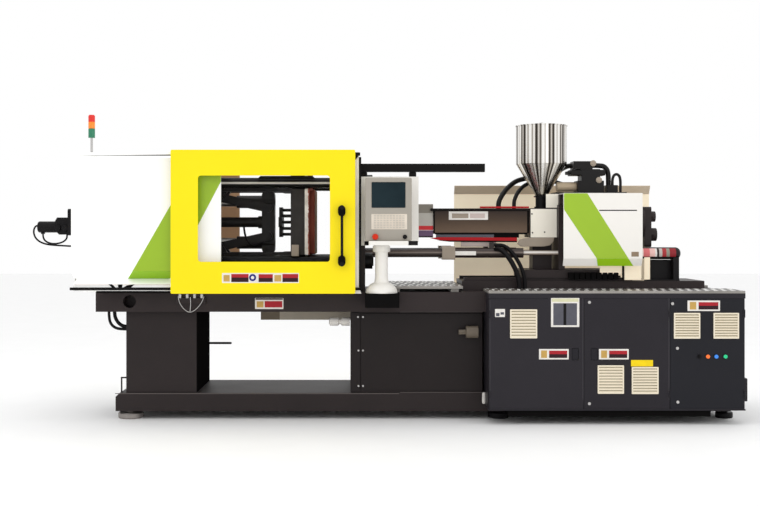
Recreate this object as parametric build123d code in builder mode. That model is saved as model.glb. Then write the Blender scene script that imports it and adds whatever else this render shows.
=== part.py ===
from build123d import *
from math import atan2, cos, degrees, hypot, radians, sin, sqrt, tan
import os

os.makedirs("parts", exist_ok=True)

# Injection moulding machine in millimetres. +X runs from the clamp end to the injection end,
# +Y from the operator to the rear, +Z up. The origin is on the floor below the machine's middle.

# Common values
AXIS_Z = 1508.0
RUN_FIT = 0.05
SLIDE_GAP = 0.3
SHEET = 4.0

# Machine base
FOOT_HEIGHT = 62.0
FOOT_Y = 290.0
FOOT_PLACES = ((-1906.0, 97.0), (927.0, 78.0), (2668.0, 66.0))
FOOT_STUD_R = 24.0
FOOT_NUT = 30.0
PAD_TOP = 46.0
BASE_LEFT = -2006.0
BASE_RIGHT = 2690.0
BASE_HALF = 380.0
BASE_TOP = 201.0
BASE_WALL = 20.0
BASE_BAYS = 5
FOOT_BLOCK = 44.0
BASE_CHAMFER = 30.0
PULL_X = -1970.0
PULL_TOP = 312.0
PULL_R = 6.0
LEG_HALF = 360.0
LEFT_LEG = (-1930.0, -1387.0)
RIGHT_LEG = (-213.0, 800.0)
BED_BOTTOM = 825.0
BED_TOP = 975.0
BED_LEFT = -2141.0
BED_RIGHT = 813.0
BED_HALF = 450.0
DROP_LEFT = -1340.0
DROP_RIGHT = -330.0
DROP_HALF = 255.0
WAY_HEIGHT = 19.0
WAY_IN = 330.0
WAY_OUT = 440.0
LIFT_X = -1885.0
LIFT_Z = 903.0
LIFT_R = 49.0
LIFT_DEPTH = 120.0

# Tie bars and platens
TIE_HALF = 300.0
TIE_R = 40.0
TIE_LEFT = -2235.0
TIE_RIGHT = -36.0
NUT_R = 62.0
PLATEN_HALF = 420.0
FIXED_LEFT = -300.0
FIXED_RIGHT = -100.0
LOCATING_R = 62.5
LOCATING_LENGTH = 60.0
NOZZLE_RECESS_R = 150.0
MOULD_BOLT_PITCH = 350.0
MOULD_BOLT_R = 8.75
MOULD_BOLT_DEPTH = 45.0
MOVING_BACK = -672.0
MOVING_FACE = -529.0
MOVING_PAD = 38.0
MOVING_PAD_HALF = 250.0
MOVING_HALF_Y = 330.0
MOVING_HALF_Z = 400.0
TAIL_LEFT = -1830.0
TAIL_RIGHT = -1660.0
GEAR_COVER = 70.0

# Toggle
PIN_Z = 285.0
PIN_R = 28.0
TAIL_PIN_X = -1440.0
REAR_LINK = 228.0
FRONT_LINK = 467.0
KNEE_ANGLE = 120.0
ELBOW_ALONG = 190.0
ELBOW_IN = 90.0
CROSS_X = -868.0
CROSS_PIN_Z = 110.0
CROSS_PIN_R = 20.0
CROSS_LAYER = (52.0, 76.0)
REAR_LAYER = (80.0, 120.0)
FRONT_LAYER = (124.0, 164.0)
OUTER_EAR = (168.0, 208.0)
EAR_R = 54.0
LINK_R = 46.0

# Clamp cylinder and crosshead
ROD_R = 40.0
PISTON_R = 70.0
BARREL_R = 92.0
BARREL_LEFT = -2445.0
GUIDE_Z = 162.0
GUIDE_R = 38.0
GUIDE_END = -1065.0
SLEEVE_R = 50.0

# Ejector
EJECTOR_STROKE = 75.0
EJECTOR_BACK = -780.0
EJECTOR_PLATE = 25.0
EJECTOR_PIN_R = 12.0
EJECTOR_PIN_OFFSET = 50.0
EJECTOR_WIDE = 280.0
EJECTOR_TALL = 236.0
EJECTOR_GUIDE_Z = 96.0
EJECTOR_GUIDE_R = 12.0
EJECTOR_ROD_Y = 110.0
EJECTOR_ROD_R = 10.0
EJECTOR_ROD_LENGTH = 92.0

# Covers and doors
COVER_LEFT = -2278.0
COVER_RIGHT = -1168.0
COVER_Y = 640.0
DOOR_Y = 720.0
DOOR_DEPTH = 40.0
DOOR_LEFT = -1528.0
DOOR_RIGHT = -174.0
DOOR_LOW = 977.0
DOOR_HIGH = 2033.0
WINDOW_LEFT = -1327.5
WINDOW_RIGHT = -360.0
WINDOW_LOW = 1211.0
WINDOW_HIGH = 1843.5
REAR_WINDOW_HIGH = 1925.0
WINDOW_CORNER = 23.0
PANE_LAP = 12.0
HANDLE_X = -271.0
HANDLE_LOW = 1195.0
HANDLE_HIGH = 1608.0
HANDLE_OUT = 65.0
HANDLE_BAR_R = 10.0
HANDLE_FOOT_R = 17.0

# Purge guard and its rail
RAIL_LEFT = -240.0
RAIL_RIGHT = 798.0
RAIL_Y = -500.0
RAIL_LOW = 1881.0
RAIL_HIGH = 1942.0
GUARD_LEFT = -132.0
GUARD_RIGHT = 300.0
GUARD_LOW = 1354.0
GUARD_HIGH = 1845.0

# Operator's panel
MAST_X = 20.0
MAST_Y = -620.0
PANEL_LEFT = -101.0
PANEL_RIGHT = 239.0
PANEL_LOW = 1364.0
PANEL_HIGH = 1826.0
PANEL_FRONT = -750.0
PANEL_BACK = -660.0
BUTTON_ROW_Z = PANEL_LOW + 30.0
ESTOP_X = -28.0
ESTOP_SHANK_R = 15.0
ESTOP_NECK = 14.0
ESTOP_SUNK = 2.0
ESTOP_BORE = 8.0
SELECTOR_X = 189.0
SCREEN_AT = (69.0, PANEL_HIGH - 126.0)
SCREEN_SIZE = (250.0, 190.0)
SCREEN_FIT = 2.0
KEYPAD_AT = (74.0, PANEL_LOW + 141.0)
KEYPAD_SIZE = (262.0, 112.0)
KEY_SIZE = (17.0, 11.0)
KEY_PITCH = (23.0, 17.0)
MAST_TOP = PANEL_LOW - 38.0
SHELF_LOW = MAST_TOP + 6.0
SHELF_Y = (-782.0, -640.0)
SHELF_RIGHT = 214.0
PLUG_BLOCK = (70.0, 70.0)

# Power cabinet
CAB_LEFT = 813.0
CAB_RIGHT = 2714.0
CAB_HALF = 640.0
CAB_LOW = 107.0
CAB_TOP = 975.0
CAB_INNER = 385.0
PLATE_TOP = 993.0
DOOR_SEAMS = (CAB_LEFT + 4.0, 1518.0, 2155.0, CAB_RIGHT - 4.0)
CAB_DOOR_LOW = 120.0
CAB_DOOR_HIGH = 935.0
SEAM = 2.0

# Injection unit
INJ_BED_LEFT = 650.0
INJ_BED_RIGHT = 2530.0
INJ_BED_HALF = 250.0
INJ_BED_TOP = 1051.0
RAIL_TOP = 1075.0
SCREW_R = 25.0
BARREL_OUT = 65.0
NOZZLE_TIP = 5.0
FEED_X = 1306.0
FEED_LEFT = 1206.0
FEED_RIGHT = 1390.0
FEED_HALF = 110.0
HOPPER_R = 200.0
NECK_R = 46.0
CARRIAGE_PLATE = (1402.0, 1450.0)
INJ_CYL_Y = 150.0
CARRIAGE_CYL_Y = 200.0
CARRIAGE_CYL_Z = 1267.0
COVER_IN_LEFT = 1407.0
COVER_IN_RIGHT = 2008.0
COVER_IN_HALF = 420.0
COVER_IN_TOP = 1726.0
COVER_IN_FOLD = 1228.0
COVER_IN_LOW = 1171.0
COVER_IN_LOW_HALF = 388.0


def finish(builder, label):
    """Name a finished piece and write it."""
    builder.part.label = label
    export_step(builder.part, f"parts/{label}.step")


def at_x(x, y=0.0, z=AXIS_Z):
    """Plane square to the machine's axis, with sketch x along +Y and sketch y along +Z."""
    return Plane(origin=(x, y, z), x_dir=(0, 1, 0), z_dir=(1, 0, 0))


def at_y(y, x=0.0, z=0.0):
    """Plane square to +Y seen from the operator, with sketch x along +X and sketch y along +Z.
    It extrudes towards the operator."""
    return Plane(origin=(x, y, z), x_dir=(1, 0, 0), z_dir=(0, -1, 0))


def hose_path(points):
    """Route of a hose through its points, with an arc at each corner as large as its runs allow."""
    radii = []
    for before, here, after in zip(points, points[1:], points[2:]):
        run_in = Vector(*here) - Vector(*before)
        run_out = Vector(*after) - Vector(*here)
        turn = radians(run_in.get_angle(run_out))
        radii.append(0.45 * min(run_in.length, run_out.length) / tan(turn / 2))
    return FilletPolyline(*points, radius=radii), radii


def pipe(points, diameter):
    """Stiff hydraulic hose that stands by itself between two ports."""
    with BuildPart() as tube:
        with BuildLine() as route:
            hose_path(points)
        with BuildSketch(Plane(origin=points[0], z_dir=Vector(*points[1]) - Vector(*points[0]))):
            Circle(diameter / 2)
        sweep(path=route.wires()[0])
    return tube


# Machine base

with BuildPart() as levelling_feet:
    for foot_x, foot_r in FOOT_PLACES:
        for side in (-1, 1):
            with BuildSketch(Plane(origin=(foot_x, side * FOOT_Y, 0), x_dir=(1, 0, 0), z_dir=(0, -1, 0))):
                Polygon(
                    (0, 0), (0.93 * foot_r, 0), (foot_r, 8), (foot_r, PAD_TOP - 8), (0.9 * foot_r, PAD_TOP),
                    (FOOT_STUD_R, PAD_TOP), (FOOT_STUD_R, FOOT_HEIGHT), (0, FOOT_HEIGHT), align=None,
                )
            revolve(axis=Axis((foot_x, side * FOOT_Y, 0), (0, 0, 1)))
            with BuildSketch(Plane.XY.offset(PAD_TOP)):
                with Locations((foot_x, side * FOOT_Y)):
                    RegularPolygon(FOOT_NUT, 6)
            extrude(amount=FOOT_HEIGHT - PAD_TOP)
finish(levelling_feet, "levelling_feet")

base_length = BASE_RIGHT - BASE_LEFT
bay_length = (base_length - BASE_WALL) / BASE_BAYS
bay_width = 2 * (BASE_HALF - BASE_WALL)

with BuildPart() as base_frame:
    with BuildSketch(Plane.XY.offset(FOOT_HEIGHT)):
        with Locations(((BASE_LEFT + BASE_RIGHT) / 2, 0)):
            Rectangle(base_length, 2 * BASE_HALF)
    extrude(amount=BASE_TOP - FOOT_HEIGHT)
    chamfer(base_frame.edges().filter_by(Axis.Y).group_by(Axis.Z)[-1].sort_by(Axis.X)[0], BASE_CHAMFER)
    with BuildSketch(Plane.XY.offset(FOOT_HEIGHT)):
        with Locations(((BASE_LEFT + BASE_RIGHT) / 2, 0)):
            with GridLocations(bay_length, 0, BASE_BAYS, 1):
                Rectangle(bay_length - BASE_WALL, bay_width)
    extrude(amount=BASE_TOP - FOOT_HEIGHT - BASE_WALL, mode=Mode.SUBTRACT)
    for foot_x, foot_r in FOOT_PLACES:
        with BuildSketch(Plane.XY.offset(FOOT_HEIGHT)):
            with Locations((foot_x, -FOOT_Y), (foot_x, FOOT_Y)):
                Rectangle(FOOT_BLOCK, FOOT_BLOCK)
        extrude(amount=BASE_TOP - FOOT_HEIGHT - BASE_WALL)
    for leg in (LEFT_LEG, RIGHT_LEG):
        with BuildSketch(Plane.XY.offset(BASE_TOP)):
            with Locations(((leg[0] + leg[1]) / 2, 0)):
                RectangleRounded(leg[1] - leg[0], 2 * LEG_HALF, 8)
        extrude(amount=BED_BOTTOM - BASE_TOP)
    with BuildSketch(Plane.XY.offset(BASE_TOP)):
        with Locations((PULL_X, -FOOT_Y - 40)):
            Circle(PULL_R)
    extrude(amount=PULL_TOP - BASE_TOP)
    with BuildSketch(at_x(PULL_X - PULL_R, y=-FOOT_Y - 40, z=PULL_TOP)):
        Circle(PULL_R)
    extrude(amount=LEFT_LEG[0] - PULL_X + PULL_R)
finish(base_frame, "base_frame")

POST_WIDTH = 74.0
PANEL_THICK = 12.0
with BuildPart() as mid_panel:
    with BuildSketch(at_y(-LEG_HALF)):
        with Locations((RIGHT_LEG[0] + POST_WIDTH / 2, (BASE_TOP + BED_BOTTOM) / 2)):
            RectangleRounded(POST_WIDTH, BED_BOTTOM - BASE_TOP - 24, 4)
        with Locations(((RIGHT_LEG[0] + POST_WIDTH + RIGHT_LEG[1]) / 2, (BASE_TOP + BED_BOTTOM) / 2)):
            RectangleRounded(RIGHT_LEG[1] - RIGHT_LEG[0] - POST_WIDTH - 12, BED_BOTTOM - BASE_TOP - 40, 6)
    extrude(amount=PANEL_THICK)
finish(mid_panel, "mid_panel")

with BuildPart() as clamp_bed:
    with BuildSketch(Plane.XY.offset(BED_BOTTOM)):
        with Locations(((BED_LEFT + BED_RIGHT) / 2, 0)):
            Rectangle(BED_RIGHT - BED_LEFT, 2 * BED_HALF)
        with Locations(((DROP_LEFT + DROP_RIGHT) / 2, 0)):
            Rectangle(DROP_RIGHT - DROP_LEFT, 2 * DROP_HALF, mode=Mode.SUBTRACT)
    extrude(amount=BED_TOP - BED_BOTTOM)
    with BuildSketch(Plane.XY.offset(BED_TOP)):
        for side in (-1, 1):
            with Locations(((BED_LEFT + FIXED_LEFT) / 2, side * (WAY_IN + WAY_OUT) / 2)):
                Rectangle(FIXED_LEFT - BED_LEFT - 20, WAY_OUT - WAY_IN)
    extrude(amount=WAY_HEIGHT)
    for side in (-1, 1):
        with BuildSketch(Plane(origin=(LIFT_X, side * BED_HALF, LIFT_Z), x_dir=(1, 0, 0), z_dir=(0, side, 0))):
            Circle(LIFT_R)
        extrude(amount=-LIFT_DEPTH, mode=Mode.SUBTRACT)
finish(clamp_bed, "clamp_bed")

# Clamp unit, fixed half

tie_places = [(y, z) for y in (-TIE_HALF, TIE_HALF) for z in (-TIE_HALF, TIE_HALF)]

with BuildPart() as fixed_platen:
    with BuildSketch(at_x(FIXED_LEFT)):
        RectangleRounded(2 * PLATEN_HALF, 2 * PLATEN_HALF, 40)
    extrude(amount=FIXED_RIGHT - FIXED_LEFT)
    for side in (-1, 1):
        with BuildSketch(Plane.XY.offset(BED_TOP)):
            with Locations(((FIXED_LEFT + FIXED_RIGHT) / 2, side * (PLATEN_HALF - 90))):
                Rectangle(FIXED_RIGHT - FIXED_LEFT, 180)
        extrude(amount=AXIS_Z - PLATEN_HALF - BED_TOP + 60)
    with BuildSketch(at_x(FIXED_LEFT)):
        with Locations(*tie_places):
            Circle(TIE_R + RUN_FIT)
        Circle(LOCATING_R)
    extrude(amount=FIXED_RIGHT - FIXED_LEFT, mode=Mode.SUBTRACT)
    with BuildSketch(at_x(FIXED_LEFT + LOCATING_LENGTH)):
        Circle(NOZZLE_RECESS_R)
    extrude(amount=FIXED_RIGHT - FIXED_LEFT, mode=Mode.SUBTRACT)
    with BuildSketch(at_x(FIXED_LEFT)):
        with GridLocations(MOULD_BOLT_PITCH, MOULD_BOLT_PITCH, 2, 2):
            Circle(MOULD_BOLT_R)
    extrude(amount=MOULD_BOLT_DEPTH, mode=Mode.SUBTRACT)
finish(fixed_platen, "fixed_platen")

with BuildPart() as tie_bars:
    with BuildSketch(at_x(TIE_LEFT)):
        with Locations(*tie_places):
            Circle(TIE_R)
    extrude(amount=TIE_RIGHT - TIE_LEFT)
    with BuildSketch(at_x(FIXED_RIGHT)):
        with Locations(*tie_places):
            Circle(NUT_R)
    extrude(amount=TIE_RIGHT - FIXED_RIGHT - 8)
finish(tie_bars, "tie_bars")

# Toggle mechanism. Upper links are drawn first and the lower ones mirror them about the axis plane.

LEVEL = Plane(origin=(0, 0, AXIS_Z), x_dir=(1, 0, 0), z_dir=(0, 0, 1))


def layer(inner):
    """Planes of one link layer, one each side of the centre plane."""
    return (at_y(-inner, z=AXIS_Z), Plane(origin=(0, inner, AXIS_Z), x_dir=(1, 0, 0), z_dir=(0, 1, 0)))


def flip(plane):
    """Sketch y points down on the rear layer's plane, so heights change sign there."""
    return 1 if plane.y_dir.Z > 0 else -1


MOVING_PIN_X = TAIL_PIN_X + REAR_LINK + FRONT_LINK
elbow = (TAIL_PIN_X + ELBOW_ALONG, PIN_Z - ELBOW_IN)


def link_plates(places, bore, inner, outer, half, boss=None):
    """Two link plates, one each side, as the hull of round ends. half is 1 for the upper links.
    bore is one x, z, radius. boss is x, z, radius, start and length of a pin that stands out."""
    with BuildPart() as plates:
        for plane in layer(inner):
            up = half * flip(plane)
            with BuildSketch(plane):
                for x, z, r in places:
                    with Locations((x, up * z)):
                        Circle(r)
                make_hull()
                with Locations((bore[0], up * bore[1])):
                    Circle(bore[2], mode=Mode.SUBTRACT)
            extrude(amount=outer - inner)
        if boss:
            for plane in layer(boss[3]):
                with BuildSketch(plane):
                    with Locations((boss[0], half * flip(plane) * boss[1])):
                        Circle(boss[2])
                extrude(amount=boss[4])
    return plates


knee = (TAIL_PIN_X + REAR_LINK, PIN_Z)
for half, word in ((1, "upper"), (-1, "lower")):
    rear_link = link_plates(
        ((TAIL_PIN_X, PIN_Z, LINK_R + 4), (*knee, LINK_R), (*elbow, 34)), (TAIL_PIN_X, PIN_Z, PIN_R + RUN_FIT),
        *REAR_LAYER, half, (*knee, PIN_R, REAR_LAYER[1], FRONT_LAYER[0] - REAR_LAYER[1] - 1),
    )
    finish(rear_link, f"rear_link_{word}")
    front_link = link_plates(
        ((*knee, LINK_R), (MOVING_PIN_X, PIN_Z, LINK_R)), (MOVING_PIN_X, PIN_Z, PIN_R + RUN_FIT),
        *FRONT_LAYER, half, (*knee, PIN_R, FRONT_LAYER[1], 6),
    )
    finish(front_link, f"front_link_{word}")
    crosshead_link = link_plates(
        ((CROSS_X, CROSS_PIN_Z, 34), (*elbow, 34)), (CROSS_X, CROSS_PIN_Z, CROSS_PIN_R + RUN_FIT),
        *CROSS_LAYER, half, (*elbow, 18, CROSS_LAYER[0], -3),
    )
    finish(crosshead_link, f"crosshead_link_{word}")

with BuildPart() as tail_platen:
    with BuildSketch(at_x(TAIL_LEFT)):
        RectangleRounded(2 * PLATEN_HALF, 2 * MOVING_HALF_Z, 60)
    extrude(amount=TAIL_RIGHT - TAIL_LEFT)
    with BuildSketch(at_x(TAIL_LEFT - GEAR_COVER)):
        RectangleRounded(2 * PLATEN_HALF - 40, 2 * MOVING_HALF_Z - 20, 90)
    extrude(amount=GEAR_COVER)
    for side in (-1, 1):
        with BuildSketch(Plane.XY.offset(BED_TOP + WAY_HEIGHT + SLIDE_GAP)):
            with Locations(((TAIL_LEFT + TAIL_RIGHT) / 2, side * (WAY_IN + WAY_OUT) / 2)):
                Rectangle(TAIL_RIGHT - TAIL_LEFT + 160, WAY_OUT - WAY_IN)
        extrude(amount=AXIS_Z - MOVING_HALF_Z - BED_TOP - WAY_HEIGHT - SLIDE_GAP + 30)
    for half in (-1, 1):
        for plane in layer(FRONT_LAYER[0]):
            up = half * flip(plane)
            with BuildSketch(plane):
                with Locations((TAIL_PIN_X, up * PIN_Z)):
                    Circle(EAR_R)
                with Locations(((TAIL_RIGHT + TAIL_PIN_X) / 2, up * PIN_Z)):
                    Rectangle(TAIL_PIN_X - TAIL_RIGHT, 2 * EAR_R)
            extrude(amount=FRONT_LAYER[1] - FRONT_LAYER[0])
        for plane in layer(REAR_LAYER[0] - 2):
            with BuildSketch(plane):
                with Locations((TAIL_PIN_X, half * flip(plane) * PIN_Z)):
                    Circle(PIN_R)
            extrude(amount=FRONT_LAYER[1] - REAR_LAYER[0] + 10)
    with BuildSketch(at_x(TAIL_LEFT - GEAR_COVER)):
        with Locations(*tie_places):
            Circle(TIE_R + RUN_FIT)
        Circle(ROD_R + RUN_FIT)
    extrude(amount=TAIL_RIGHT - TAIL_LEFT + GEAR_COVER, mode=Mode.SUBTRACT)
    with BuildSketch(at_x(TAIL_RIGHT)):
        with Locations((0, GUIDE_Z), (0, -GUIDE_Z)):
            Circle(GUIDE_R)
    extrude(amount=GUIDE_END - TAIL_RIGHT)
finish(tail_platen, "tail_platen")

CYLINDER_FLANGE = 40.0
CYLINDER_CAP = 45.0
CAP_BLOCK_LEFT = -2556.0
CAP_BLOCK_Z = (1409.0, 1545.0)
VALVE_LEFT = -2706.0
VALVE_R = 45.0
VALVE_Z = 1470.0
FITTING_Z = 1461.0
PORT_X = -2303.0
PORT_Z = 1382.0
VALVE_PORT_X = -2668.0
VALVE_PORT_Z = 1414.0
cylinder_right = TAIL_LEFT - GEAR_COVER
with BuildPart() as clamp_cylinder:
    with BuildSketch(at_x(BARREL_LEFT)):
        Circle(BARREL_R)
    extrude(amount=cylinder_right - BARREL_LEFT)
    with BuildSketch(at_x(cylinder_right)):
        RectangleRounded(260, 260, 30)
    extrude(amount=-CYLINDER_FLANGE)
    with BuildSketch(at_x(BARREL_LEFT)):
        RectangleRounded(210, 210, 24)
    extrude(amount=CYLINDER_CAP)
    with BuildSketch(at_x(BARREL_LEFT + CYLINDER_CAP)):
        Circle(PISTON_R + RUN_FIT)
    extrude(amount=cylinder_right - BARREL_LEFT, mode=Mode.SUBTRACT)
    with BuildSketch(at_y(60)):
        with BuildLine():
            Polyline(
                (BARREL_LEFT, CAP_BLOCK_Z[1]), (CAP_BLOCK_LEFT + 16, CAP_BLOCK_Z[1]),
                (CAP_BLOCK_LEFT, CAP_BLOCK_Z[1] - 28), (CAP_BLOCK_LEFT, CAP_BLOCK_Z[0] + 34),
                (CAP_BLOCK_LEFT + 32, CAP_BLOCK_Z[0]), (BARREL_LEFT, CAP_BLOCK_Z[0]), close=True,
            )
        make_face()
    extrude(amount=120)
    with BuildSketch(at_x(VALVE_LEFT, z=VALVE_Z)):
        Circle(VALVE_R)
    extrude(amount=CAP_BLOCK_LEFT - VALVE_LEFT)
    valve_end = clamp_cylinder.edges().filter_by(GeomType.CIRCLE).sort_by(Axis.X)[0]
    fillet(valve_end, 14)
    with BuildSketch(at_y(-60)):
        with Locations((-2532, FITTING_Z), (-2475, FITTING_Z)):
            Circle(24)
    extrude(amount=24)
    with BuildSketch(Plane.XY.offset(PORT_Z)):
        with Locations((PORT_X, 0)):
            Rectangle(44, 44)
    extrude(amount=AXIS_Z - BARREL_R - PORT_Z + 8)
    with BuildSketch(Plane.XY.offset(VALVE_PORT_Z)):
        with Locations((VALVE_PORT_X, 0)):
            Rectangle(26, 26)
    extrude(amount=VALVE_Z - VALVE_R - VALVE_PORT_Z + 10)
finish(clamp_cylinder, "clamp_cylinder")

CROSS_HALF = 51.5
CROSS_TALL = 250.0
CROSS_THICK = 46.0
SLEEVE_LEFT = -1120.0
with BuildPart() as crosshead:
    with BuildSketch(at_y(CROSS_THICK, z=AXIS_Z)):
        with Locations((CROSS_X, 0)):
            RectangleRounded(2 * CROSS_HALF, 2 * CROSS_TALL, 40)
    extrude(amount=2 * CROSS_THICK)
    with BuildSketch(at_x(SLEEVE_LEFT)):
        with Locations((0, GUIDE_Z), (0, -GUIDE_Z)):
            Circle(SLEEVE_R)
    extrude(amount=CROSS_X + CROSS_HALF - SLEEVE_LEFT)
    with BuildSketch(at_x(SLEEVE_LEFT)):
        with Locations((0, GUIDE_Z), (0, -GUIDE_Z)):
            Circle(GUIDE_R + RUN_FIT)
    extrude(amount=CROSS_X + CROSS_HALF - SLEEVE_LEFT, mode=Mode.SUBTRACT)
    with BuildSketch(at_x(CROSS_X - CROSS_HALF - 30)):
        Circle(49)
    extrude(amount=30)
    with BuildSketch(at_x(-1900)):
        Circle(ROD_R)
    extrude(amount=CROSS_X + 1900)
    with BuildSketch(at_x(-1960)):
        Circle(PISTON_R)
    extrude(amount=60)
    for half in (-1, 1):
        for plane in layer(CROSS_THICK):
            with BuildSketch(plane):
                with Locations((CROSS_X, half * flip(plane) * CROSS_PIN_Z)):
                    Circle(CROSS_PIN_R)
            extrude(amount=CROSS_LAYER[1] + 2 - CROSS_THICK)
finish(crosshead, "crosshead")

NOTCH_R = TIE_R + 8.0
SHOE_LEFT = -770.0
SHOE_RIGHT = -500.0
with BuildPart() as moving_platen:
    with BuildSketch(at_x(MOVING_BACK)):
        RectangleRounded(2 * MOVING_HALF_Y, 2 * MOVING_HALF_Z, 24)
        for y, z in tie_places:
            with Locations((y, z)):
                Circle(NOTCH_R, mode=Mode.SUBTRACT)
            with Locations((y + (60 if y > 0 else -60), z)):
                Rectangle(120, 2 * NOTCH_R, mode=Mode.SUBTRACT)
    extrude(amount=MOVING_FACE - MOVING_BACK)
    with BuildSketch(at_x(MOVING_FACE)):
        RectangleRounded(2 * MOVING_PAD_HALF, 2 * MOVING_PAD_HALF, 12)
    extrude(amount=MOVING_PAD)
    for side in (-1, 1):
        with BuildSketch(Plane.XY.offset(BED_TOP + WAY_HEIGHT + SLIDE_GAP)):
            with Locations(((SHOE_LEFT + SHOE_RIGHT) / 2, side * (WAY_OUT + DROP_HALF + 35) / 2)):
                Rectangle(SHOE_RIGHT - SHOE_LEFT, WAY_OUT - DROP_HALF - 35)
        extrude(amount=AXIS_Z - MOVING_HALF_Z + 30 - BED_TOP - WAY_HEIGHT - SLIDE_GAP)
    for half in (-1, 1):
        for inner, outer in ((REAR_LAYER[0], REAR_LAYER[1]), OUTER_EAR):
            for plane in layer(inner):
                up = half * flip(plane)
                with BuildSketch(plane):
                    with Locations((MOVING_PIN_X, up * PIN_Z)):
                        Circle(EAR_R - 4)
                    with Locations(((MOVING_BACK + MOVING_PIN_X) / 2, up * PIN_Z)):
                        Rectangle(MOVING_BACK - MOVING_PIN_X, 2 * EAR_R - 8)
                extrude(amount=outer - inner)
        for plane in layer(REAR_LAYER[0]):
            with BuildSketch(plane):
                with Locations((MOVING_PIN_X, half * flip(plane) * PIN_Z)):
                    Circle(PIN_R)
            extrude(amount=OUTER_EAR[1] + 6 - REAR_LAYER[0])
    with BuildSketch(at_x(MOVING_FACE + MOVING_PAD)):
        with GridLocations(MOULD_BOLT_PITCH, MOULD_BOLT_PITCH, 2, 2):
            Circle(MOULD_BOLT_R)
    extrude(amount=-MOULD_BOLT_DEPTH, mode=Mode.SUBTRACT)
    with BuildSketch(at_x(MOVING_BACK)):
        with GridLocations(2 * EJECTOR_PIN_OFFSET, 2 * EJECTOR_PIN_OFFSET, 2, 2):
            Circle(EJECTOR_PIN_R + RUN_FIT)
        Circle(EJECTOR_PIN_R + RUN_FIT)
    extrude(amount=MOVING_FACE + MOVING_PAD - MOVING_BACK, mode=Mode.SUBTRACT)
    with BuildSketch(at_x(MOVING_BACK)):
        with Locations((-EJECTOR_ROD_Y, 0), (EJECTOR_ROD_Y, 0)):
            Circle(34)
    extrude(amount=-5)
    with BuildSketch(at_x(MOVING_BACK - 5)):
        with Locations((-EJECTOR_ROD_Y, 0), (EJECTOR_ROD_Y, 0)):
            Circle(EJECTOR_ROD_R + RUN_FIT)
    extrude(amount=EJECTOR_ROD_LENGTH + 6, mode=Mode.SUBTRACT)
    with BuildSketch(at_x(MOVING_BACK)):
        with Locations((0, EJECTOR_GUIDE_Z), (0, -EJECTOR_GUIDE_Z)):
            Circle(EJECTOR_GUIDE_R)
    extrude(amount=EJECTOR_BACK - 4 - MOVING_BACK)
finish(moving_platen, "moving_platen")

with BuildPart() as ejector_plate:
    with BuildSketch(at_x(EJECTOR_BACK)):
        RectangleRounded(EJECTOR_WIDE / 2, EJECTOR_TALL, 16)
        RectangleRounded(EJECTOR_WIDE, 80, 16)
        with Locations((0, EJECTOR_GUIDE_Z), (0, -EJECTOR_GUIDE_Z)):
            Circle(EJECTOR_GUIDE_R + RUN_FIT, mode=Mode.SUBTRACT)
    extrude(amount=EJECTOR_PLATE)
    with BuildSketch(at_x(EJECTOR_BACK + EJECTOR_PLATE)):
        with GridLocations(2 * EJECTOR_PIN_OFFSET, 2 * EJECTOR_PIN_OFFSET, 2, 2):
            Circle(EJECTOR_PIN_R)
        Circle(EJECTOR_PIN_R)
    extrude(amount=MOVING_FACE + MOVING_PAD - 6 - EJECTOR_BACK - EJECTOR_PLATE)
    with BuildSketch(at_x(EJECTOR_BACK + EJECTOR_PLATE)):
        with Locations((-EJECTOR_ROD_Y, 0), (EJECTOR_ROD_Y, 0)):
            Circle(EJECTOR_ROD_R)
    extrude(amount=EJECTOR_ROD_LENGTH)
finish(ejector_plate, "ejector_plate")

# Covers, doors and rails


COVER_FOLD_LOW = 1141.0
COVER_FOLD_HIGH = 1981.0
COVER_BOTTOM = 1081.0
COVER_ROOF = 2015.0
with BuildPart() as clamp_covers:
    for side in (-1, 1):
        out = side * COVER_Y
        with BuildSketch(at_x(COVER_LEFT, z=0)):
            with BuildLine():
                Polyline(
                    (side * 550, COVER_BOTTOM), (out, COVER_FOLD_LOW), (out, COVER_FOLD_HIGH),
                    (side * 520, COVER_ROOF), (side * 300, COVER_ROOF),
                    (side * 300, COVER_ROOF - SHEET), (side * (520 - 2), COVER_ROOF - SHEET),
                    (side * (COVER_Y - SHEET), COVER_FOLD_HIGH - 3), (side * (COVER_Y - SHEET), COVER_FOLD_LOW + 3),
                    (side * 550, COVER_BOTTOM + 5), close=True,
                )
            make_face()
        extrude(amount=COVER_RIGHT - COVER_LEFT)
        with BuildSketch(at_x(COVER_LEFT + 20, z=0)):
            with BuildLine():
                Polyline(
                    (side * BED_HALF, BED_TOP), (side * BED_HALF, 994), (side * 660, 994), (side * 660, 1037),
                    (side * 550, COVER_BOTTOM), (side * 546, COVER_BOTTOM - 3), (side * 656, 1034),
                    (side * 656, 998), (side * (BED_HALF - SHEET), 998), (side * (BED_HALF - SHEET), BED_TOP),
                    close=True,
                )
            make_face()
        extrude(amount=COVER_RIGHT - COVER_LEFT - 20)
    with BuildSketch(at_x(COVER_LEFT, z=0)):
        with BuildLine():
            Polyline(
                (-546, 1000), (-546, COVER_BOTTOM + 4), (-636, COVER_FOLD_LOW), (-636, COVER_FOLD_HIGH),
                (-518, COVER_ROOF - SHEET), (518, COVER_ROOF - SHEET), (636, COVER_FOLD_HIGH),
                (636, COVER_FOLD_LOW), (546, COVER_BOTTOM + 4), (546, 1000), close=True,
            )
        make_face()
        with Locations((0, AXIS_Z - 10)):
            RectangleRounded(330, 330, 30, mode=Mode.SUBTRACT)
    extrude(amount=SHEET)
finish(clamp_covers, "clamp_covers")


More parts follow.
